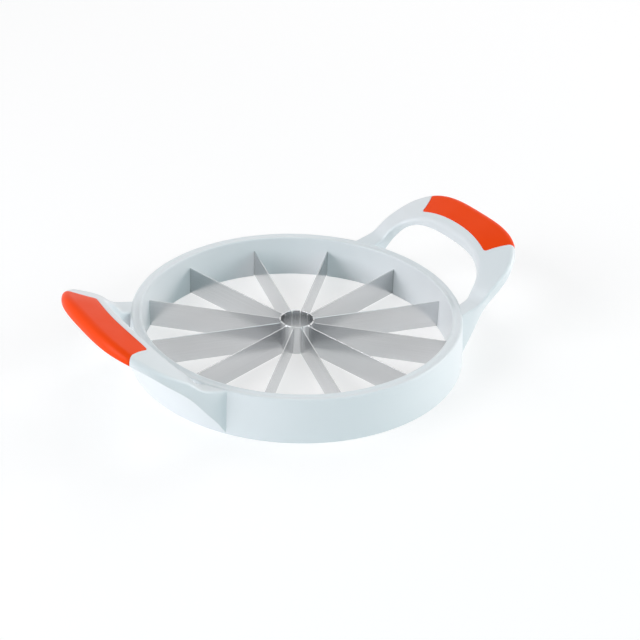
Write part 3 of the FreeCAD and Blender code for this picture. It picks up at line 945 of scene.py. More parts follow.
@dataclass
class RingMoulding:
    """The ring's channel, open below, with its dished rim, blade slots and screw bosses."""

    material: Material
    segments: int = 360
    boss_hole: float = 1.45
    screw_depth: float = 13.15

    def profile(self) -> list[Point2]:
        """The channel's section.

        Returns:
            Its points, as distance from the axis and height.
        """
        ring, soft = RING, RING.edge_round
        return rounded((
            (ring.foot_radius, 0.0, soft),
            (ring.radius, ring.height, ring.rim_round),
            (ring.radius - ring.shoulder, ring.height, ring.shoulder_round),
            (ring.radius - ring.rim_width / 2.0, ring.height - ring.dish, ring.dish_round),
            (ring.inner_radius + ring.shoulder, ring.height, ring.shoulder_round),
            (ring.inner_radius, ring.height, ring.rim_round),
            (ring.inner_radius, 0.0, soft),
            (ring.inner_wall_back, 0.0, soft),
            (ring.inner_wall_back, ring.rim_underside, soft),
            (ring.radius - ring.wall, ring.rim_underside, soft),
            (ring.foot_radius - ring.wall, 0.0, soft),
        ))

    def build(self) -> Item:
        """Make the ring.

        Returns:
            The ring, to which the handles are still to be joined.
        """
        ring = turned("ring_channel", self.profile(), RING.radius, self.segments, self.material)
        foot, top = RING.flange_top, RING.rim_underside + RING.rim_thickness / 2.0
        boss = disc_outline(RING.boss_radius, RING.boss_circle)
        hole = disc_outline(self.boss_hole, RING.boss_circle)
        slot = box_outline((RING.inner_radius - RING.inner_wall, -BLADE.slot_half),
                           (RING.inner_wall_back + RING.fit_gap, BLADE.slot_half))
        for feature in (
                Feature("boss", SCREW_PLACES, boss, foot, top, Join.ADD),
                Feature("boss_hole", SCREW_PLACES, hole, foot - PAST, foot + self.screw_depth),
                Feature("blade_slot", BLADE_PLACES, slot, -PAST, BLADE.top + BLADE.clearance)):
            feature.work(ring, self.material)
        return ring


@dataclass
class ClampRing:
    """The ring that closes the channel from below and holds the blades' bent ends."""

    material: Material
    rib: float = 1.6
    rib_top: float = 24.0
    soft: float = 0.35
    notch_gap: float = 0.3
    hole_radius: float = 1.6
    segments: int = 288

    def build(self) -> None:
        """Make the clamp ring."""
        foot, top = RING.clamp_foot, RING.flange_top
        inner = RING.inner_wall_back + RING.fit_gap
        outer = RING.foot_radius - RING.wall - RING.flare * top / RING.height - RING.fit_gap
        rib_inner = math.hypot(inner + BLADE.thickness, BLADE.tab_length - BLADE.half) + RING.fit_gap
        rib_outer = rib_inner + self.rib
        section = ((inner, foot), (outer, foot), (outer, top), (rib_outer, top), (rib_outer, self.rib_top),
                   (rib_inner, self.rib_top), (rib_inner, top), (inner, top))
        profile = rounded([(r, z, self.soft) for r, z in section])
        ring = turned("clamp_ring", profile, rib_inner, self.segments, self.material)
        notch = disc_outline(RING.boss_radius + self.notch_gap, RING.boss_circle)
        hole = disc_outline(self.hole_radius, RING.boss_circle)
        Feature("rib_notch", SCREW_PLACES, notch, top, self.rib_top + PAST).work(ring, self.material)
        Feature("clamp_hole", SCREW_PLACES, hole, foot - PAST, top + PAST).work(ring, self.material)
        finish_piece(shade(ring), Slot.CLAMP, ["retaining_ring"], self.material)


@dataclass
class CoreTube:
    """The slotted steel tube in the middle, ground to an edge below."""

    material: Material
    segments: int = 144

    def build(self) -> None:
        """Make the tube."""
        bore = CORE.radius - CORE.wall
        foot, top = BLADE.foot, BLADE.foot + CORE.height
        profile = rounded((
            (bore, foot, 0.0), (bore + CORE.edge, foot, 0.0), (CORE.radius, foot + CORE.bevel, 0.0),
            (CORE.radius, top, CORE.top_round), (bore, top, CORE.top_round)), steps=3)
        tube = turned("core_tube", profile, CORE.radius, self.segments, self.material)
        slot = box_outline((bore - CORE.wall, -BLADE.slot_half), (CORE.radius + CORE.wall, BLADE.slot_half))
        Feature("core_slot", BLADE_PLACES, slot, top - CORE.slot_depth, top + PAST).work(tube, self.material)
        finish_piece(shade(tube), Slot.BLADE, ["core_ring"], self.material)


@dataclass
class BladeSet:
    """Twelve blades, each a ground strip with a tab at its core end and a bent tab at the ring."""

    material: Material
    tab_top: float = 24.0
    sharp_angle: float = 20.0

    def strip(self) -> Item:
        """Make the blade's straight part, along X.

        Returns:
            The strip.
        """
        edge, half = BLADE.edge / 2.0, BLADE.half
        outline = rounded((
            (-edge, BLADE.foot, 0.0), (edge, BLADE.foot, 0.0), (half, BLADE.bevel_top, 0.0),
            (half, BLADE.top, BLADE.top_round), (-half, BLADE.top, BLADE.top_round),
            (-half, BLADE.bevel_top, 0.0)), steps=2)
        item = prism("blade", outline, CORE.radius + BLADE.clearance, RING.inner_wall_back)
        z_to_x_to_y = Matrix(((0, 0, 1, 0), (1, 0, 0, 0), (0, 1, 0, 0), (0, 0, 0, 1)))
        item.data.transform(z_to_x_to_y)
        return item

    def core_tab(self) -> Item:
        """Make the narrow tab that drops into the core tube's slot.

        Returns:
            The tab.
        """
        back = CORE.radius + BLADE.clearance + BLADE.thickness
        low = BLADE.foot + CORE.height - CORE.slot_depth + BLADE.clearance
        outline = box_outline((CORE.radius - CORE.wall, -BLADE.half), (back, BLADE.half))
        return prism("core_tab", outline, low, BLADE.top)

    def ring_tab(self) -> Item:
        """Make the bent tab behind the ring's inner wall.

        Returns:
            The tab.
        """
        start = RING.inner_wall_back - BLADE.thickness
        front = RING.inner_wall_back + RING.fit_gap
        back, half = front + BLADE.thickness, BLADE.half
        side = BLADE.tab_length - half
        outline = rounded((
            (start, -half, 0.0), (back, -half, BLADE.bend_round), (back, side, 0.0),
            (front, side, 0.0), (front, half, 0.0), (start, half, 0.0)))
        return prism("ring_tab", outline, RING.flange_top + RING.fit_gap, self.tab_top)

    def build(self) -> None:
        """Make one blade and repeat it round the core."""
        blade = self.strip()
        for tab in (self.core_tab, self.ring_tab):
            combine(blade, tab(), Join.ADD)
        copies_tree().apply(blade, BLADE_PLACES.inputs(self.material))
        blade.name = "blade_set"
        nodes = [f"blade_{number + 1:02d}" for number in range(BLADE_PLACES.count)]
        finish_piece(shade(blade, self.sharp_angle), Slot.BLADE, nodes, self.material)


@dataclass
class Screw:
    """A pan-head screw with a cross recess, pointing up, its head's underside at the origin."""

    sizes: ScrewSizes
    material: Material

    def build(self, name: str) -> Item:
        """Make the screw at the origin.

        Args:
            name: its name.

        Returns:
            The screw.
        """
        size = self.sizes
        head = -size.head_height
        outline = rounded((
            (0.0, head, 0.0), (size.head_radius, head, size.head_round),
            (size.head_radius, 0.0, size.head_edge_round), (size.radius, 0.0, 0.0),
            (size.radius, size.length - size.point, size.point_round), (0.0, size.length, 0.0)), steps=4)
        screw = turned(name, outline, size.radius, size.segments, self.material, closed=False)
        for x, y in ((size.recess_reach, size.recess_half), (size.recess_half, size.recess_reach)):
            arm = prism("recess", box_outline((-x, -y), (x, y)), head - PAST, head + size.recess_depth)
            combine(screw, arm, Join.TAKE_AWAY)
        return screw


@dataclass
class RingScrews:
    """The screws that hold the clamp ring."""

    material: Material
    sizes: ScrewSizes = ScrewSizes(length=16.0)

    def build(self) -> None:
        """Make one screw and repeat it round the ring."""
        screw = Screw(self.sizes, self.material).build("ring_screw_set")
        screw.data.transform(Matrix.Translation(Vector((RING.boss_circle, 0.0, RING.clamp_foot)) * MM))
        copies_tree().apply(screw, SCREW_PLACES.inputs(self.material))
        finish_piece(shade(screw), Slot.SCREW, ["ring_screws"], self.material)


# Handles


class Spline:
    """A natural cubic spline through rows of numbers."""

    def __init__(self, at: np.ndarray, rows: np.ndarray) -> None:
        """Fit the spline.

        Args:
            at: where each row lies, rising.
            rows: the rows.
        """
        self.at, self.rows = at, rows
        gaps = np.diff(at)
        count = len(at)
        system, right = np.eye(count), np.zeros_like(rows)
        for i in range(1, count - 1):
            system[i, i - 1:i + 2] = gaps[i - 1], 2.0 * (gaps[i - 1] + gaps[i]), gaps[i]
            right[i] = 6.0 * ((rows[i + 1] - rows[i]) / gaps[i] - (rows[i] - rows[i - 1]) / gaps[i - 1])
        self.bend = np.linalg.solve(system, right)

    def __call__(self, t: np.ndarray) -> np.ndarray:
        """Read the spline.

        Args:
            t: the places.

        Returns:
            A row for each place.
        """
        t = np.atleast_1d(np.asarray(t, float))
        i = np.clip(np.searchsorted(self.at, t) - 1, 0, len(self.at) - 2)
        gap = (self.at[i + 1] - self.at[i])[:, None]
        a = (self.at[i + 1] - t)[:, None] / gap
        b = 1.0 - a
        return (a * self.rows[i] + b * self.rows[i + 1]
                + ((a ** 3 - a) * self.bend[i] + (b ** 3 - b) * self.bend[i + 1]) * gap ** 2 / 6.0)


def halving(gap: Callable[[np.ndarray], np.ndarray], low: float, high: float, count: int = 1) -> np.ndarray:
    """Find where rising functions pass zero.

    Args:
        gap: the functions' values at one place for each.
        low: a place before all of them.
        high: a place after all of them.
        count: the number of functions.

    Returns:
        The places.
    """
    lows, highs = np.full(count, low), np.full(count, high)
    for _ in range(HALVINGS):
        middle = (lows + highs) / 2.0
        above = gap(middle) > 0.0
        highs = np.where(above, middle, highs)
        lows = np.where(above, lows, middle)
    return (lows + highs) / 2.0


@dataclass(frozen=True)
class HandleSizes:
    """One looped handle, in millimetres. Reaches are measured from the ring's top edge."""

    arm_half_width: float = 80.0
    hole_half_width: float = 62.5
    bar_reach: float = 56.0
    hole_reach: float = 20.5
    bar_outer_rise: float = 48.2
    bar_inner_rise: float = 35.7
    bar_outer_depth: float = 11.5
    bar_inner_depth: float = 10.0
    bar_lean: float = 0.8
    arm_tuck: float = 3.5
    bar_round: float = 7.0
    lip_round: float = 6.0
    arm_round: float = 2.0
    foot_round: float = 0.6
    hollow_round: float = 1.2
    wall: float = 2.2
    grip_thickness: float = 2.2
    grip_inner_reach: float = 29.0
    grip_tip_reach: float = 23.0
    grip_tip_y: float = 45.0
    grip_end_reach: float = 47.0
    grip_end_y: float = 60.5
    grip_end_hollow: float = 1.6
    grip_tip_round: float = 3.0
    grip_edge_round: float = 0.55
    grip_seam: float = 0.14
    grip_gap: float = 0.1
    cover_thickness: float = 1.8
    cover_recess: float = 0.3
    cover_gap: float = 0.4
    cover_half_length: float = 44.0
    cover_screw_y: float = 22.0
    cover_boss_radius: float = 3.6
    cover_boss_seat: float = 0.1
    screw_gap: float = 0.05
    root_drop: float = 0.3
    root_lift: float = 0.3
    root_reach: float = 1.2
    root_dip: float = 7.7
    root_dip_length: float = 10.0

    @property
    def inner_foot(self) -> float:
        """Height of the bar's inner foot."""
        return RING.height + self.bar_inner_rise - self.bar_inner_depth

    @property
    def outer_foot(self) -> float:
        """Height of the bar's outer foot."""
        return RING.height + self.bar_outer_rise - self.bar_outer_depth


# Shares of each station along the loop, from an arm's root to the bar's middle: how far along X, how
# far its top and its foot have risen, and how much of the arm's tuck its outer side draws in below
STATIONS = (
    (0.0, 0.0, 0.0, -0.9),
    (0.11, 0.045, 0.15, -0.4),
    (0.23, 0.11, 0.31, 0.5),
    (0.36, 0.29, 0.475, 1.0),
    (0.49, 0.44, 0.62, 0.5),
    (0.61, 0.56, 0.745, 0.0),
    (0.72, 0.68, 0.845, 0.0),
    (0.82, 0.79, 0.92, 0.0),
    (0.9, 0.885, 0.965, 0.0),
    (0.965, 0.96, 0.99, 0.0),
    (1.0, 1.0, 1.0, 0.0),
)

# The places of a station's numbers in its row
INNER, OUTER = slice(0, 2), slice(2, 4)
INNER_TOP, OUTER_TOP, INNER_FOOT, OUTER_FOOT, LEAN, INNER_ROUND, OUTER_ROUND, SKIN = range(4, 12)


class Section(NamedTuple):
    """The handle's outside across the loop, with a row for each place along it.

    The station's numbers there are row. In plan, inner is the inner edge, way the direction outwards
    and width the distance across. In the section's own plane, in distances outwards and heights, the
    flat top starts at begin and runs along top, the flat side runs along side, and the two would
    meet at corner. A rounding of this radius lies between them, and starts a distance back from
    there. The flat top's length is flat and the rounding's is arc, and whole is the length of both
    and the side, down to the outer foot.
    """

    row: np.ndarray
    inner: np.ndarray
    way: np.ndarray
    width: np.ndarray
    begin: np.ndarray
    corner: np.ndarray
    top: np.ndarray
    side: np.ndarray
    radius: np.ndarray
    back: np.ndarray
    flat: np.ndarray
    arc: np.ndarray
    whole: np.ndarray


class LoopShape:
    """The handle's outside as a smooth surface.

    A place on it is t, the distance along the loop from the bar's middle, and s, the distance across
    from the inner edge over the top and down the outer side.
    """

    # Powers of the loop's two curves in plan, of the top's growing rounding and of the root's lift
    OUTER_POWERS = (3.5, 3.1)
    INNER_POWERS = (3.0, 2.5)
    ROUND_POWER = 4.0
    LIFT_POWER = 4
    # Shares along X where the wall takes on the grip's thickness, and where the root's drop ends
    STEP_FROM, STEP_TO = 0.62, 0.8
    DROP_OVER = 0.2
    # How far apart the places are that a slope is read from
    SLOPE_STEP = 0.02

    def __init__(self, size: HandleSizes) -> None:
        """Fit the loop through its stations.

        Args:
            size: the handle's sizes.
        """
        self.size = size
        table = np.array([self.station(row, -1.0) for row in STATIONS]
                         + [self.station(row, 1.0) for row in reversed(STATIONS[:-1])])
        middles = np.column_stack(((table[:, INNER] + table[:, OUTER]) / 2.0,
                                   (table[:, INNER_TOP] + table[:, OUTER_TOP]) / 2.0))
        at = np.concatenate(([0.0], np.cumsum(np.linalg.norm(np.diff(middles, axis=0), axis=1))))
        at -= at[len(STATIONS) - 1]
        self.path = Spline(at, table)
        self.end = float(at[-1])

    def station(self, row: Sequence[float], side: float) -> list[float]:
        """Work out the numbers of one station.

        Args:
            row: its shares.
            side: -1 for the near arm, 1 for the far one.

        Returns:
            The inner and outer points in plan, the four heights, the lean, the two top corners'
            radii and the thickness of the wall outside the hollow.
        """
        size = self.size
        share, rise, foot_rise, tuck = row
        root = RING.radius - RING.root_sink
        inner_root = math.sqrt(root ** 2 - size.hole_half_width ** 2)
        outer_root = math.sqrt(root ** 2 - size.arm_half_width ** 2)
        bar_x = RING.radius + size.bar_reach
        hole_x = RING.radius + size.hole_reach
        inner_y, outer_y = ((1.0 - share ** power) ** (1.0 / inverse)
                            for power, inverse in (self.INNER_POWERS, self.OUTER_POWERS))
        bloom = share ** self.ROUND_POWER
        drop = size.root_drop * max(0.0, 1.0 - share / self.DROP_OVER)
        step = min(1.0, max(0.0, (share - self.STEP_FROM) / (self.STEP_TO - self.STEP_FROM)))
        return [
            inner_root + (hole_x - inner_root) * share,
            side * size.hole_half_width * inner_y,
            outer_root + (bar_x - outer_root) * share,
            side * size.arm_half_width * outer_y,
            RING.height + size.bar_inner_rise * rise - drop,
            RING.height + size.bar_outer_rise * rise - drop,
            size.inner_foot * (foot_rise + size.root_lift * (1.0 - share) ** self.LIFT_POWER),
            size.outer_foot * foot_rise,
            size.bar_lean * share - size.arm_tuck * tuck,
            size.arm_round + (size.lip_round - size.arm_round) * share,
            size.arm_round + (size.bar_round - size.arm_round) * bloom,
            size.wall + size.grip_thickness * step,
        ]

    def section(self, t: np.ndarray) -> Section:
        """Work out the section.

        Args:
            t: the places along the loop.

        Returns:
            The section at each place.
        """
        row = self.path(t)
        span = row[:, OUTER] - row[:, INNER]
        width = np.linalg.norm(span, axis=1, keepdims=True)
        first = np.column_stack((np.zeros_like(width), row[:, INNER_TOP]))
        corner = np.column_stack((width, row[:, OUTER_TOP]))
        last = np.column_stack((width + row[:, [LEAN]], row[:, OUTER_FOOT]))
        top_length, side_length = (np.linalg.norm(line, axis=1, keepdims=True)
                                   for line in (corner - first, last - corner))
        top, side = (corner - first) / top_length, (last - corner) / side_length
        start = row[:, [INNER_ROUND]] * np.tan(np.arccos(np.clip(top[:, 1:], -1.0, 1.0)) / 2.0)
        radius = row[:, [OUTER_ROUND]]
        turn = np.arccos(np.clip((top * side).sum(1, keepdims=True), -1.0, 1.0))
        back, arc = radius * np.tan(turn / 2.0), radius * turn
        flat = top_length - start - back
        return Section(row, row[:, INNER], span / width, width, first + top * start, corner, top, side,
                       radius, back, flat, arc, flat + arc + side_length - back)

    def surface(self, t: np.ndarray, s: np.ndarray) -> np.ndarray:
        """Find points of the outside.

        Args:
            t: the places along the loop.
            s: the places across it.

        Returns:
            The points.
        """
        part = self.section(t)
        s = np.reshape(s, (-1, 1))
        inward = np.column_stack((part.top[:, 1], -part.top[:, 0]))
        angle = (s - part.flat) / part.radius
        on_top = part.begin + part.top * s
        on_round = (part.corner - part.top * part.back + inward * part.radius
                    + part.radius * (part.top * np.sin(angle) - inward * np.cos(angle)))
        on_side = part.corner + part.side * (part.back + s - part.flat - part.arc)
        local = np.where(s <= part.flat, on_top, np.where(s <= part.flat + part.arc, on_round, on_side))
        return np.column_stack((part.inner + part.way * local[:, :1], local[:, 1]))

    def slopes(self, t: np.ndarray, s: np.ndarray) -> tuple[np.ndarray, np.ndarray, np.ndarray]:
        """Find how the outside runs.

        Args:
            t: the places along the loop.
            s: the places across it.

        Returns:
            Its direction along the loop, its direction across it and its outward normal.
        """
        step = self.SLOPE_STEP
        along = (self.surface(t + step, s) - self.surface(t - step, s)) / (2.0 * step)
        across = (self.surface(t, s + step) - self.surface(t, s - step)) / (2.0 * step)
        return along, across, unit(np.cross(across, along))

    def outline(self, t: float) -> list[Point2]:
        """Draw the shell's section: its outside, then the hollow under it.

        Args:
            t: the place along the loop.

        Returns:
            The section's points, as distance outwards and height.
        """
        size, part = self.size, self.section(t)
        width = float(part.width[0, 0])
        (inner_top, outer_top, inner_foot, outer_foot, lean, inner_round, outer_round,
         skin) = part.row[0, INNER_TOP:].tolist()
        near_root = max(0.0, 1.0 - (self.end - abs(t)) / size.root_dip_length)
        outer_foot = max(0.0, outer_foot - size.root_dip * near_root ** 2)
        left, right = size.wall, width - skin
        top_slope = (outer_top - inner_top) / width
        foot_slope = (outer_foot - inner_foot) / (width + lean)
        return rounded((
            (0.0, inner_foot, size.foot_round),
            (left, inner_foot + foot_slope * left, size.foot_round / 2.0),
            (left, inner_top + top_slope * left - skin, size.hollow_round),
            (right, inner_top + top_slope * right - skin, size.hollow_round),
            (right + lean, inner_foot + foot_slope * (right + lean), size.foot_round / 2.0),
            (width + lean, outer_foot, size.foot_round),
            (width, outer_top, outer_round),
            (0.0, inner_top, inner_round),
        ), steps=8)

    def cover_outline(self, t: float) -> list[Point2]:
        """Draw the cover's section.

        Args:
            t: the place along the loop.

        Returns:
            The section's points, as distance outwards and height.
        """
        size, part = self.size, self.section(t)
        width = float(part.width[0, 0])
        inner_foot, outer_foot, skin = part.row[0, [INNER_FOOT, OUTER_FOOT, SKIN]].tolist()
        slope = (outer_foot - inner_foot) / width
        low, high = size.cover_recess, size.cover_recess + size.cover_thickness
        left, right = size.wall + size.cover_gap, width - skin - size.cover_gap
        corners = [(x, inner_foot + slope * x + rise, size.cover_recess)
                   for x, rise in box_outline((left, low), (right, high))]
        return rounded(corners, steps=3)

    def sweep(self, name: str, outline: Callable[[float], list[Point2]], reach: float, steps: int) -> Item:
        """Make a closed solid through a section that follows the loop.

        Args:
            name: the object's name.
            outline: gives the section at a place t.
            reach: how far it runs each way from the bar's middle.
            steps: the number of stretches.

        Returns:
            The solid.
        """
        rings = []
        for t in np.linspace(-reach, reach, steps + 1):
            local = np.array(outline(float(t)))
            part = self.section(t)
            rings.append(np.column_stack((part.inner + part.way * local[:, :1], local[:, 1])))
        return lofted(name, rings)


class GripPatch:
    """The area of the handle's outside that the soft grip covers, and the solids made over it.

    An edge is a ring of places t and s on the loop.
    """

    # Points along the inner side, along an end and round the tip between them
    SIDE_POINTS, END_POINTS, TIP_POINTS = 60, 40, 9
    # Where along and across the loop the edge is looked for
    FIRST_T, FIRST_S, LAST_S, LOWEST_S = -2.0, -5.0, 45.0, 80.0
    END_PLAY = 15.0
    # Where the normal rises less than this, the surface counts as the outer side
    UPRIGHT = 0.45
    DOWN_STEP, FOOT_STEP = 0.8, 1.0
    ROUND_STEPS = 5
    LEAST_SHIFT = 1e-4
    # How far the points inside the edge keep from it, as a share of their spacing
    EDGE_MARGIN = 0.55
    # Places this near to each other are one, and a smaller square than the second counts as nothing
    SAME, NOTHING = 1e-6, 1e-12

    def __init__(self, loop: LoopShape) -> None:
        """Work out where the grip's end lies in plan.

        Args:
            loop: the handle's outside.
        """
        size = loop.size
        self.loop, self.size = loop, size
        self.tip = np.array((RING.radius + size.grip_tip_reach, size.grip_tip_y))
        self.run = np.array((RING.radius + size.grip_end_reach, size.grip_end_y)) - self.tip
        self.inwards = unit(np.array((self.run[1], -self.run[0])))

    def hollow(self, share: np.ndarray) -> np.ndarray:
        """How deep the grip's end is hollowed at a share of its length, most in the middle."""
        return self.size.grip_end_hollow * 4.0 * share * (1.0 - share)

    def plan(self) -> np.ndarray:
        """Draw the edge in plan.

        Returns:
            Its points, from the middle of the inner side, round a tip, to the outer end.
        """
        size = self.size
        bow = size.grip_inner_reach - size.grip_tip_reach
        radius = (size.grip_tip_y ** 2 + bow ** 2) / (2.0 * bow)
        centre = RING.radius + size.grip_inner_reach - radius
        widest = math.asin(size.grip_tip_y / radius)
        inner = [np.array((centre + radius * math.cos(a), radius * math.sin(a)))
                 for a in np.linspace(0.0, widest, self.SIDE_POINTS)]
        ends = [self.tip + self.run * q + self.inwards * self.hollow(q)
                for q in np.linspace(0.0, 1.0, self.END_POINTS)]
        return np.array(self.round_tip(inner, ends, size.grip_tip_round))

    def past_end(self, places: np.ndarray) -> np.ndarray:
        """Measure how far points in plan lie past the curve of the grip's end.

        Args:
            places: the points.

        Returns:
            The distances.
        """
        gap = places - self.tip
        share = np.clip(gap @ self.run / float(self.run @ self.run), 0.0, 1.0)
        return self.hollow(share) - gap @ self.inwards

    def round_tip(self, before: list[np.ndarray], after: list[np.ndarray], radius: float) -> list[np.ndarray]:
        """Join two runs of points that meet at a corner by a rounding.

        Args:
            before: the run that ends at the corner.
            after: the run that starts there.
            radius: the rounding's radius.

        Returns:
            The joined run.
        """
        corner = after[0]
        back, ahead = unit(before[-2] - corner), unit(after[1] - corner)
        half = math.acos(float(back @ ahead)) / 2.0
        reach = radius / math.tan(half)
        kept, following = ([p for p in run if np.linalg.norm(p - corner) > reach] for run in (before, after))
        start, stop = corner + back * reach, corner + ahead * reach
        pull = reach * (4.0 / 3.0) * math.tan((math.pi - 2.0 * half) / 4.0) * math.tan(half)
        first, second = start - back * pull, stop - ahead * pull
        arc = [start * (1 - q) ** 3 + first * 3 * q * (1 - q) ** 2 + second * 3 * q * q * (1 - q)
               + stop * q ** 3 for q in np.linspace(0.0, 1.0, self.TIP_POINTS)]
        return kept + arc + following

    def top_edge(self) -> np.ndarray:
        """Lay the plan onto the handle's top.

        Returns:
            The places, from the middle of the inner side to where the outer side begins.
        """
        loop, plan = self.loop, self.plan()

        def off_plane(t: np.ndarray) -> np.ndarray:
            """How far along the loop each section is past its point in plan."""
            part = loop.section(t)
            return part.way[:, 1] * (plan - part.inner)[:, 0] - part.way[:, 0] * (plan - part.inner)[:, 1]

        t = halving(off_plane, self.FIRST_T, loop.end, len(plan))
        part = loop.section(t)

        def past_point(s: np.ndarray) -> np.ndarray:
            """How far each place lies outside its point in plan."""
            return ((loop.surface(t, s)[:, :2] - plan) * part.way).sum(1)

        s = halving(past_point, self.FIRST_S, self.LAST_S, len(plan))
        _, _, normal = loop.slopes(t, s)
        return np.column_stack((t, s))[np.cumsum(np.abs(normal[:, 2]) < self.UPRIGHT) == 0]

    def end_edge(self, start: np.ndarray, past_foot: float) -> np.ndarray:
        """Take the edge down the outer side.

        Args:
            start: the last place on the top.
            past_foot: how far it runs past the outer foot.

        Returns:
            The places.
        """
        t, s = start.tolist()
        down = []
        for lower in np.arange(s + self.DOWN_STEP, self.LOWEST_S, self.DOWN_STEP).tolist():
            found = halving(lambda at: self.past_end(self.loop.surface(at, lower)[:, :2]),
                            t - self.END_PLAY, t + self.END_PLAY)
            limit = float(self.loop.section(found).whole[0, 0]) + past_foot
            if lower > limit - self.DOWN_STEP:
                down.append((float(found[0]), limit))
                break
            down.append((float(found[0]), lower))
        return np.array(down)

    def edge(self, past_foot: float) -> np.ndarray:
        """Draw the area's whole edge.

        Args:
            past_foot: how far it runs past the outer foot.

        Returns:
            The places, in order round the area.
        """
        top = self.top_edge()
        end = self.end_edge(top[-1], past_foot)
        t = np.arange(end[-1, 0] - self.FOOT_STEP, 0.0, -self.FOOT_STEP)
        foot = np.column_stack((t, self.loop.section(t).whole + past_foot))
        half = np.concatenate((top, end, foot))
        return np.concatenate((half, half[:0:-1] * np.array((-1.0, 1.0))))

    def shift(self, edge: np.ndarray, distance: float) -> np.ndarray:
        """Move each place of an edge into the area.

        Args:
            edge: the edge.
            distance: how far, measured on the surface.

        Returns:
            The moved edge.
        """
        along, across, normal = self.loop.slopes(edge[:, 0], edge[:, 1])
        points = self.loop.surface(edge[:, 0], edge[:, 1])
        ahead = unit(np.cross(np.roll(points, -1, axis=0) - points, normal))
        behind = np.roll(ahead, 1, axis=0)
        inwards = (ahead + behind) / (1.0 + (ahead * behind).sum(1))[:, None]
        moved = np.empty_like(edge)
        for i in range(len(edge)):
            basis = np.column_stack((along[i], across[i]))
            moved[i] = edge[i] + np.linalg.lstsq(basis, inwards[i] * distance, rcond=None)[0]
        return moved

    def lifted(self, at: np.ndarray, height: float) -> np.ndarray:
        """Points at a height over the handle's outside."""
        _, _, normal = self.loop.slopes(at[:, 0], at[:, 1])
        return self.loop.surface(at[:, 0], at[:, 1]) + normal * height

    def solid(self, name: str, edge: np.ndarray, above: float, below: float, soft: float,
              spacing: float) -> Item:
        """Make a closed sheet over an area of the handle's outside.

        Args:
            name: the object's name.
            edge: the area's edge.
            above: the height of its top over the handle's outside.
            below: the depth of its underside.
            soft: the radius of its upper edge.
            spacing: the distance between its points.

        Returns:
            The closed sheet.
        """
        rows = [(edge, above)]
        if soft:
            angles = np.linspace(0.0, math.pi / 2.0, self.ROUND_STEPS)
            rows = [(self.shift(edge, max(self.LEAST_SHIFT, soft * (1.0 - math.cos(a)))),
                     above - soft * (1.0 - math.sin(a))) for a in angles]
        inner, count = rows[-1][0], len(edge)
        low, high = inner.min(0), inner.max(0)
        grid = np.array([(t, s) for s in np.arange(low[1] + spacing, high[1], spacing)
                         for t in np.arange(low[0] + spacing, high[0], spacing)])
        grid = grid[self.inside(inner, grid, spacing * self.EDGE_MARGIN)]
        flat = np.concatenate((inner, grid))
        corners, rim = [Vector(place) for place in flat], [list(range(count))]
        places, _, triangles, origins, _, _ = delaunay_2d_cdt(corners, [], rim, 1, self.SAME)
        if len(places) != len(flat):
            raise ValueError(f"{name}: the area's points changed from {len(flat)} to {len(places)}")
        filled = [tuple(origins[v][0] for v in face) for face in triangles]
        layers = ((flat, above), *reversed(rows[:-1]), (edge, -below), (grid, -below))
        points = [self.lifted(at, height) for at, height in layers]
        starts = [0] + [len(flat) + count * i for i in range(len(rows))]
        faces = list(filled)
        for upper, lower in zip(starts, starts[1:]):
            faces += band(upper, lower, count)
        faces += [tuple(starts[-1] + v for v in reversed(face)) for face in filled]
        return face_outwards(new_object(name, np.concatenate(points), faces))

    @staticmethod
    def inside(edge: np.ndarray, places: np.ndarray, margin: float) -> np.ndarray:
        """Find which places lie inside an edge.

        Args:
            edge: the edge.
            places: the places.
            margin: how far from the edge they have to be.

        Returns:
            True for each place that does.
        """
        crossings = np.zeros(len(places), int)
        nearest = np.full(len(places), np.inf)
        for a, b in zip(edge, np.roll(edge, -1, axis=0)):
            spans = (a[1] > places[:, 1]) != (b[1] > places[:, 1])
            with np.errstate(divide="ignore", invalid="ignore"):
                x = a[0] + (places[:, 1] - a[1]) / (b[1] - a[1]) * (b[0] - a[0])
            crossings += spans & (places[:, 0] < x)
            run = b - a
            share = np.clip(((places - a) @ run) / max(float(run @ run), GripPatch.NOTHING), 0.0, 1.0)
            nearest = np.minimum(nearest, np.linalg.norm(places - a - share[:, None] * run, axis=1))
        return (crossings % 2 == 1) & (nearest > margin)


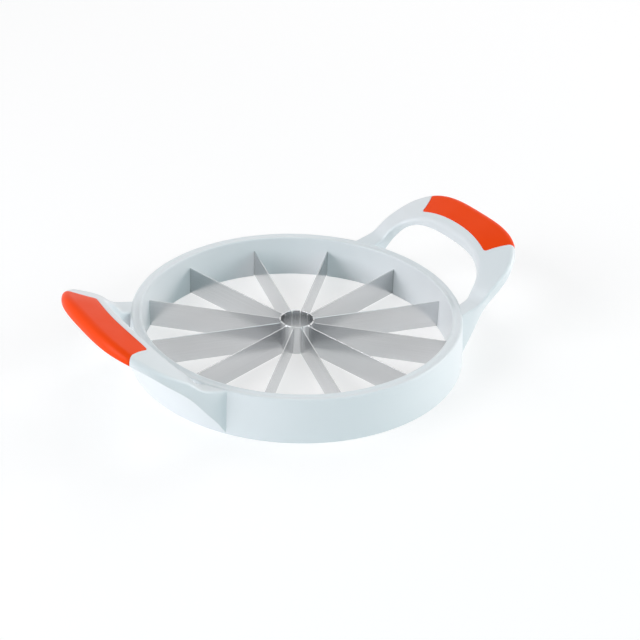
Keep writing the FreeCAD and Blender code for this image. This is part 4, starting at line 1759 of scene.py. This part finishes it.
@dataclass
class Handles:
    """Both looped handles: the shells that belong to the frame, and the pieces that they carry."""

    finishes: dict[Slot, Material]
    size: HandleSizes = HandleSizes()
    screw: ScrewSizes = ScrewSizes(length=5.0)
    stretches: int = 240
    cover_stretches: int = 120
    grip_spacing: float = 1.0
    seat_spacing: float = 1.6
    seat_above: float = 1.5
    seat_past_foot: float = 3.0
    trim_heights: Span = (-2.0, RING.height + 6.0)
    trim_segments: int = 360
    cover_spare: float = 14.0
    cover_span_x: Span = (100.0, 220.0)
    cover_span_top: float = 120.0
    hole_foot: float = -4.0

    def __post_init__(self) -> None:
        """Fit the loop."""
        self.loop = LoopShape(self.size)
        self.patch = GripPatch(self.loop)

    @property
    def boss_seat(self) -> float:
        """Height of the screw bosses' ends above the bar's foot."""
        return self.size.cover_recess + self.size.cover_thickness - self.size.cover_boss_seat

    @property
    def roof(self) -> float:
        """Height of the grip's underside above the bar's foot, in the middle of the bar."""
        return (self.size.bar_inner_depth + self.size.bar_outer_depth) / 2.0 - self.size.grip_thickness

    @property
    def head_seat(self) -> float:
        """Height of the screw heads' undersides above the bar's foot."""
        return self.size.cover_recess + self.screw.head_height

    def screw_place(self, side: Side) -> Matrix:
        """Find a cover screw's axis, from the bar's foot upwards.

        Args:
            side: the half of the bar that it stands in.

        Returns:
            The axis's place, as a matrix in metres.
        """
        size = self.size
        width = size.bar_reach - size.hole_reach
        across = (width - size.grip_thickness) / 2.0
        slope = (size.outer_foot - size.inner_foot) / width
        spot = Vector((RING.radius + size.hole_reach + across, size.cover_screw_y * side.value,
                       size.inner_foot + slope * across))
        return Matrix.Translation(spot * MM) @ Matrix.Rotation(-math.atan(slope), 4, "Y")

    def on_axes(self, item: Item, *bars: Triple, join: Join = Join.TAKE_AWAY) -> None:
        """Add round bosses to an object on the cover screws' axes, or drill it there.

        Args:
            item: the object.
            bars: the radius of each boss or hole, and its ends' heights above the bar's foot.
            join: what is done.
        """
        for side in Side:
            for radius, low, high in bars:
                bar = prism("round_bar", disc_outline(radius), low, high)
                bar.data.transform(self.screw_place(side))
                combine(item, bar, join)

    def shell(self) -> Item:
        """Make the right handle's hollow shell, with the grip's seat sunk into it and its roots trimmed.

        Returns:
            The shell.
        """
        size, reach = self.size, self.loop.end + self.size.root_reach
        shell = self.loop.sweep("handle_shell", self.loop.outline, reach, self.stretches)
        self.on_axes(shell, (size.cover_boss_radius, self.boss_seat, self.roof), join=Join.ADD)
        edge = self.patch.shift(self.patch.edge(self.seat_past_foot), -size.grip_seam)
        seat = self.patch.solid("grip_seat", edge, self.seat_above, size.grip_thickness, 0.0,
                                self.seat_spacing)
        combine(shell, seat, Join.TAKE_AWAY)
        combine(shell, self.inside_ring(), Join.TAKE_AWAY)
        hole_end = self.head_seat + self.screw.length + RING.fit_gap
        self.on_axes(shell, (self.screw.radius + size.screw_gap, 0.0, hole_end))
        return shell

    def inside_ring(self) -> Item:
        """Make the space inside the middle of the ring's outer wall.

        Returns:
            The space, as a closed cone.
        """
        rings = []
        for z in self.trim_heights:
            radius = RING.foot_radius - RING.wall / 2.0 - RING.flare * z / RING.height
            rings.append(flat_ring(disc_outline(radius, segments=self.trim_segments), z))
        return lofted("inside_ring", rings)

    def grip(self) -> Item:
        """Make the right handle's soft grip.

        Returns:
            The grip.
        """
        below = self.size.grip_thickness - self.size.grip_gap
        return self.patch.solid("right_soft_grip", self.patch.edge(0.0), 0.0, below,
                                self.size.grip_edge_round, self.grip_spacing)

    def cover(self) -> Item:
        """Make the cover under the right handle's bar, with its sunk screw holes.

        Returns:
            The cover.
        """
        size, half = self.size, self.size.cover_half_length
        cover = self.loop.sweep("right_bar_cover", self.loop.cover_outline, half + self.cover_spare,
                                self.cover_stretches)
        near, far = self.cover_span_x
        span = prism("cover_span", box_outline((near, -half), (far, half)), 0.0, self.cover_span_top)
        combine(cover, span, Join.OVERLAP)
        self.on_axes(cover, (size.cover_boss_radius, self.boss_seat, self.roof),
                     (self.screw.head_radius + RING.fit_gap, self.hole_foot, self.head_seat),
                     (self.screw.radius + size.screw_gap, self.hole_foot, self.roof))
        return cover

    def screws(self) -> Item:
        """Make the right cover's two screws.

        Returns:
            The screws, as one object.
        """
        item = Screw(self.screw, self.finishes[Slot.SCREW]).build("right_bar_screws")
        lift = Matrix.Translation(Vector((0.0, 0.0, self.head_seat * MM)))
        work = bmesh.new()
        for side in (Side.RIGHT, Side.LEFT):
            mesh = item.data.copy()
            mesh.transform(self.screw_place(side) @ lift)
            work.from_mesh(mesh)
            bpy.data.meshes.remove(mesh)
        work.to_mesh(item.data)
        work.free()
        return item

    def build(self) -> None:
        """Make the grips, covers and cover screws of both handles."""
        kinds = ((self.grip, Slot.GRIP, "soft_grip", "grip"),
                 (self.cover, Slot.CLAMP, "bar_cover", "handle_cover"),
                 (self.screws, Slot.SCREW, "bar_screws", "cover_screws"))
        for make, slot, piece, node in kinds:
            right = shade(make())
            left = mirrored(right, f"{Side.LEFT.word}_{piece}")
            for side, item in ((Side.RIGHT, right), (Side.LEFT, left)):
                finish_piece(item, slot, [f"{side.word}_{node}"], self.finishes[slot])


@dataclass
class FrameMoulding:
    """The white moulding: the ring with the shells of both handles."""

    handles: Handles
    material: Material

    def build(self) -> None:
        """Make the frame."""
        moulding = RingMoulding(self.material).build()
        right = self.handles.shell()
        left = mirrored(right, "left_shell")
        for shell in (right, left):
            combine(moulding, shell, Join.ADD)
        moulding.name = "white_frame"
        finish_piece(shade(moulding), Slot.WHITE, ["frame"], self.material)


# Studio


def towards(azimuth: float, elevation: float) -> Vector:
    """The direction at two angles in degrees, to the right from the front and up from the table."""
    turn, rise = math.radians(azimuth), math.radians(elevation)
    return Vector((math.sin(turn) * math.cos(rise), -math.cos(turn) * math.cos(rise), math.sin(rise)))


def grey(tone: float) -> Colour:
    """A colour without a hue."""
    return (tone, tone, tone, 1.0)


class RoomTree(ShaderTree):
    """A shader that looks one way where it is seen, and another where it lights the object."""

    def end(self, kind: str, lighting: Socket, seen: Socket) -> None:
        """Close the tree.

        Args:
            kind: the type of its last node.
            lighting: what counts where light is gathered.
            seen: what counts where the camera, a reflection or a glass looks.
        """
        path = self.add("ShaderNodeLightPath").node.outputs
        looking = self.maths("MAXIMUM", path["Is Camera Ray"], path["Is Glossy Ray"])
        looking = self.maths("MAXIMUM", looking, path["Is Transmission Ray"])
        self.add(kind, {"Surface": self.add("ShaderNodeMixShader", {0: looking, 1: lighting, 2: seen})})


@dataclass(frozen=True)
class Lamp:
    """A soft lamp: its turn to the right of the camera and its height in degrees, and its power in watts."""

    name: str
    turn: float
    height: float
    power: float
    colour: Triple = (1.0, 1.0, 1.0)
    reflected: bool = True


@dataclass(frozen=True)
class Studio:
    """The floor, the soft lights and the camera of the picture."""

    azimuth: float = -34.5149
    elevation: float = 30.4156
    distance: float = 1176.12
    focal: float = 1365.487
    centre: Point2 = (296.0553, 346.5167)
    roll: float = 2.4342
    picture: float = 640.0
    sensor: float = 36.0
    clip: Span = (0.05, 50.0)
    floor_radius: float = 1.9
    floor_segments: int = 128
    floor_tone: float = 0.93
    floor_seen_tone: float = 0.465
    floor_glow: float = 0.6
    fill: float = 0.12
    backdrop: float = 0.98
    lamp_size: float = 1.6
    lamp_distance: float = 2.2
    lamp_target: float = 0.03
    lamps: tuple[Lamp, ...] = (
        Lamp("left", -62.0, 26.0, 40.0, (0.97, 0.97, 1.0)),
        Lamp("right", 97.0, 15.0, 36.0, (1.0, 0.94, 0.94)),
        Lamp("front", 45.0, 25.0, 12.0, (0.62, 0.95, 1.0)),
        Lamp("back", 180.0, 40.0, 15.0, reflected=False),
    )

    def camera(self) -> None:
        """Set the camera at the picture's viewing angle."""
        back = towards(self.azimuth, self.elevation)
        azimuth, roll = math.radians(self.azimuth), math.radians(self.roll)
        right = Vector((math.cos(azimuth), math.sin(azimuth), 0.0))
        up = back.cross(right)
        across = right * math.cos(roll) + up * math.sin(roll)
        upright = up * math.cos(roll) - right * math.sin(roll)
        half = self.picture / 2.0
        shift_x = (self.centre[0] - half) / self.focal * self.distance
        shift_y = (half - self.centre[1]) / self.focal * self.distance
        spot = (back * self.distance - across * shift_x - upright * shift_y) * MM
        data = bpy.data.cameras.new("camera")
        data.sensor_width = self.sensor
        data.lens = self.focal * self.sensor / self.picture
        data.clip_start, data.clip_end = self.clip
        item = placed("camera", data)
        item.matrix_world = Matrix.Translation(spot) @ Matrix((across, upright, back)).transposed().to_4x4()
        bpy.context.scene.camera = item

    def floor(self) -> None:
        """Lay a plain pale round floor, which ends before the lamps and takes the object's shadow."""
        rim = flat_ring(disc_outline(self.floor_radius / MM, segments=self.floor_segments), 0.0)
        item = new_object("floor", rim, [tuple(range(len(rim)))])
        material = bpy.data.materials.new("pale_floor")
        graph = RoomTree(material)
        lighting, shaded = (graph.add("ShaderNodeBsdfDiffuse", {"Color": grey(tone)})
                            for tone in (self.floor_tone, self.floor_seen_tone))
        glow = graph.add("ShaderNodeEmission", {"Color": WHITE, "Strength": self.floor_glow})
        seen = graph.add("ShaderNodeAddShader", {0: shaded, 1: glow})
        graph.end("ShaderNodeOutputMaterial", lighting, seen)
        item.data.materials.append(material)

    def world(self) -> None:
        """Fill the room with an even pale light, seen as white."""
        world = bpy.data.worlds.new("studio")
        bpy.context.scene.world = world
        graph = RoomTree(world)
        lighting, seen = (graph.add("ShaderNodeBackground", {"Color": WHITE, "Strength": strength})
                          for strength in (self.fill, self.backdrop))
        graph.end("ShaderNodeOutputWorld", lighting, seen)

    def hang(self, lamp: Lamp) -> None:
        """Hang a soft square lamp that looks at the object.

        Args:
            lamp: the lamp.
        """
        data = bpy.data.lights.new(lamp.name, "AREA")
        data.shape = "SQUARE"
        data.size = self.lamp_size
        data.energy = lamp.power
        data.color = lamp.colour
        item = placed(lamp.name, data)
        way = towards(self.azimuth + lamp.turn, lamp.height)
        spot = Vector((0.0, 0.0, self.lamp_target)) + way * self.lamp_distance
        item.matrix_world = Matrix.Translation(spot) @ (-way).to_track_quat("-Z", "Y").to_matrix().to_4x4()
        item.visible_glossy = lamp.reflected

    def build(self) -> None:
        """Set up the whole studio."""
        bpy.context.scene.view_settings.view_transform = "Standard"
        self.camera()
        self.floor()
        self.world()
        for lamp in self.lamps:
            self.hang(lamp)


def main() -> None:
    """Build the object and its studio."""
    logging.basicConfig(level=logging.INFO, format="%(message)s")
    finishes = {
        Slot.WHITE: WhitePlastic("satin_white_plastic").make(),
        Slot.CLAMP: MattPlastic("matt_white_plastic").make(),
        Slot.GRIP: SoftGrip("orange_soft_grip").make(),
        Slot.BLADE: BladeSteel("ground_blade_steel").make(),
        Slot.SCREW: TurnedSteel("zinc_plated_steel").make(),
    }
    handles = Handles(finishes)
    FrameMoulding(handles, finishes[Slot.WHITE]).build()
    handles.build()
    ClampRing(finishes[Slot.CLAMP]).build()
    BladeSet(finishes[Slot.BLADE]).build()
    CoreTube(finishes[Slot.BLADE]).build()
    RingScrews(finishes[Slot.SCREW]).build()
    Studio().build()


if __name__ == "__main__":
    main()
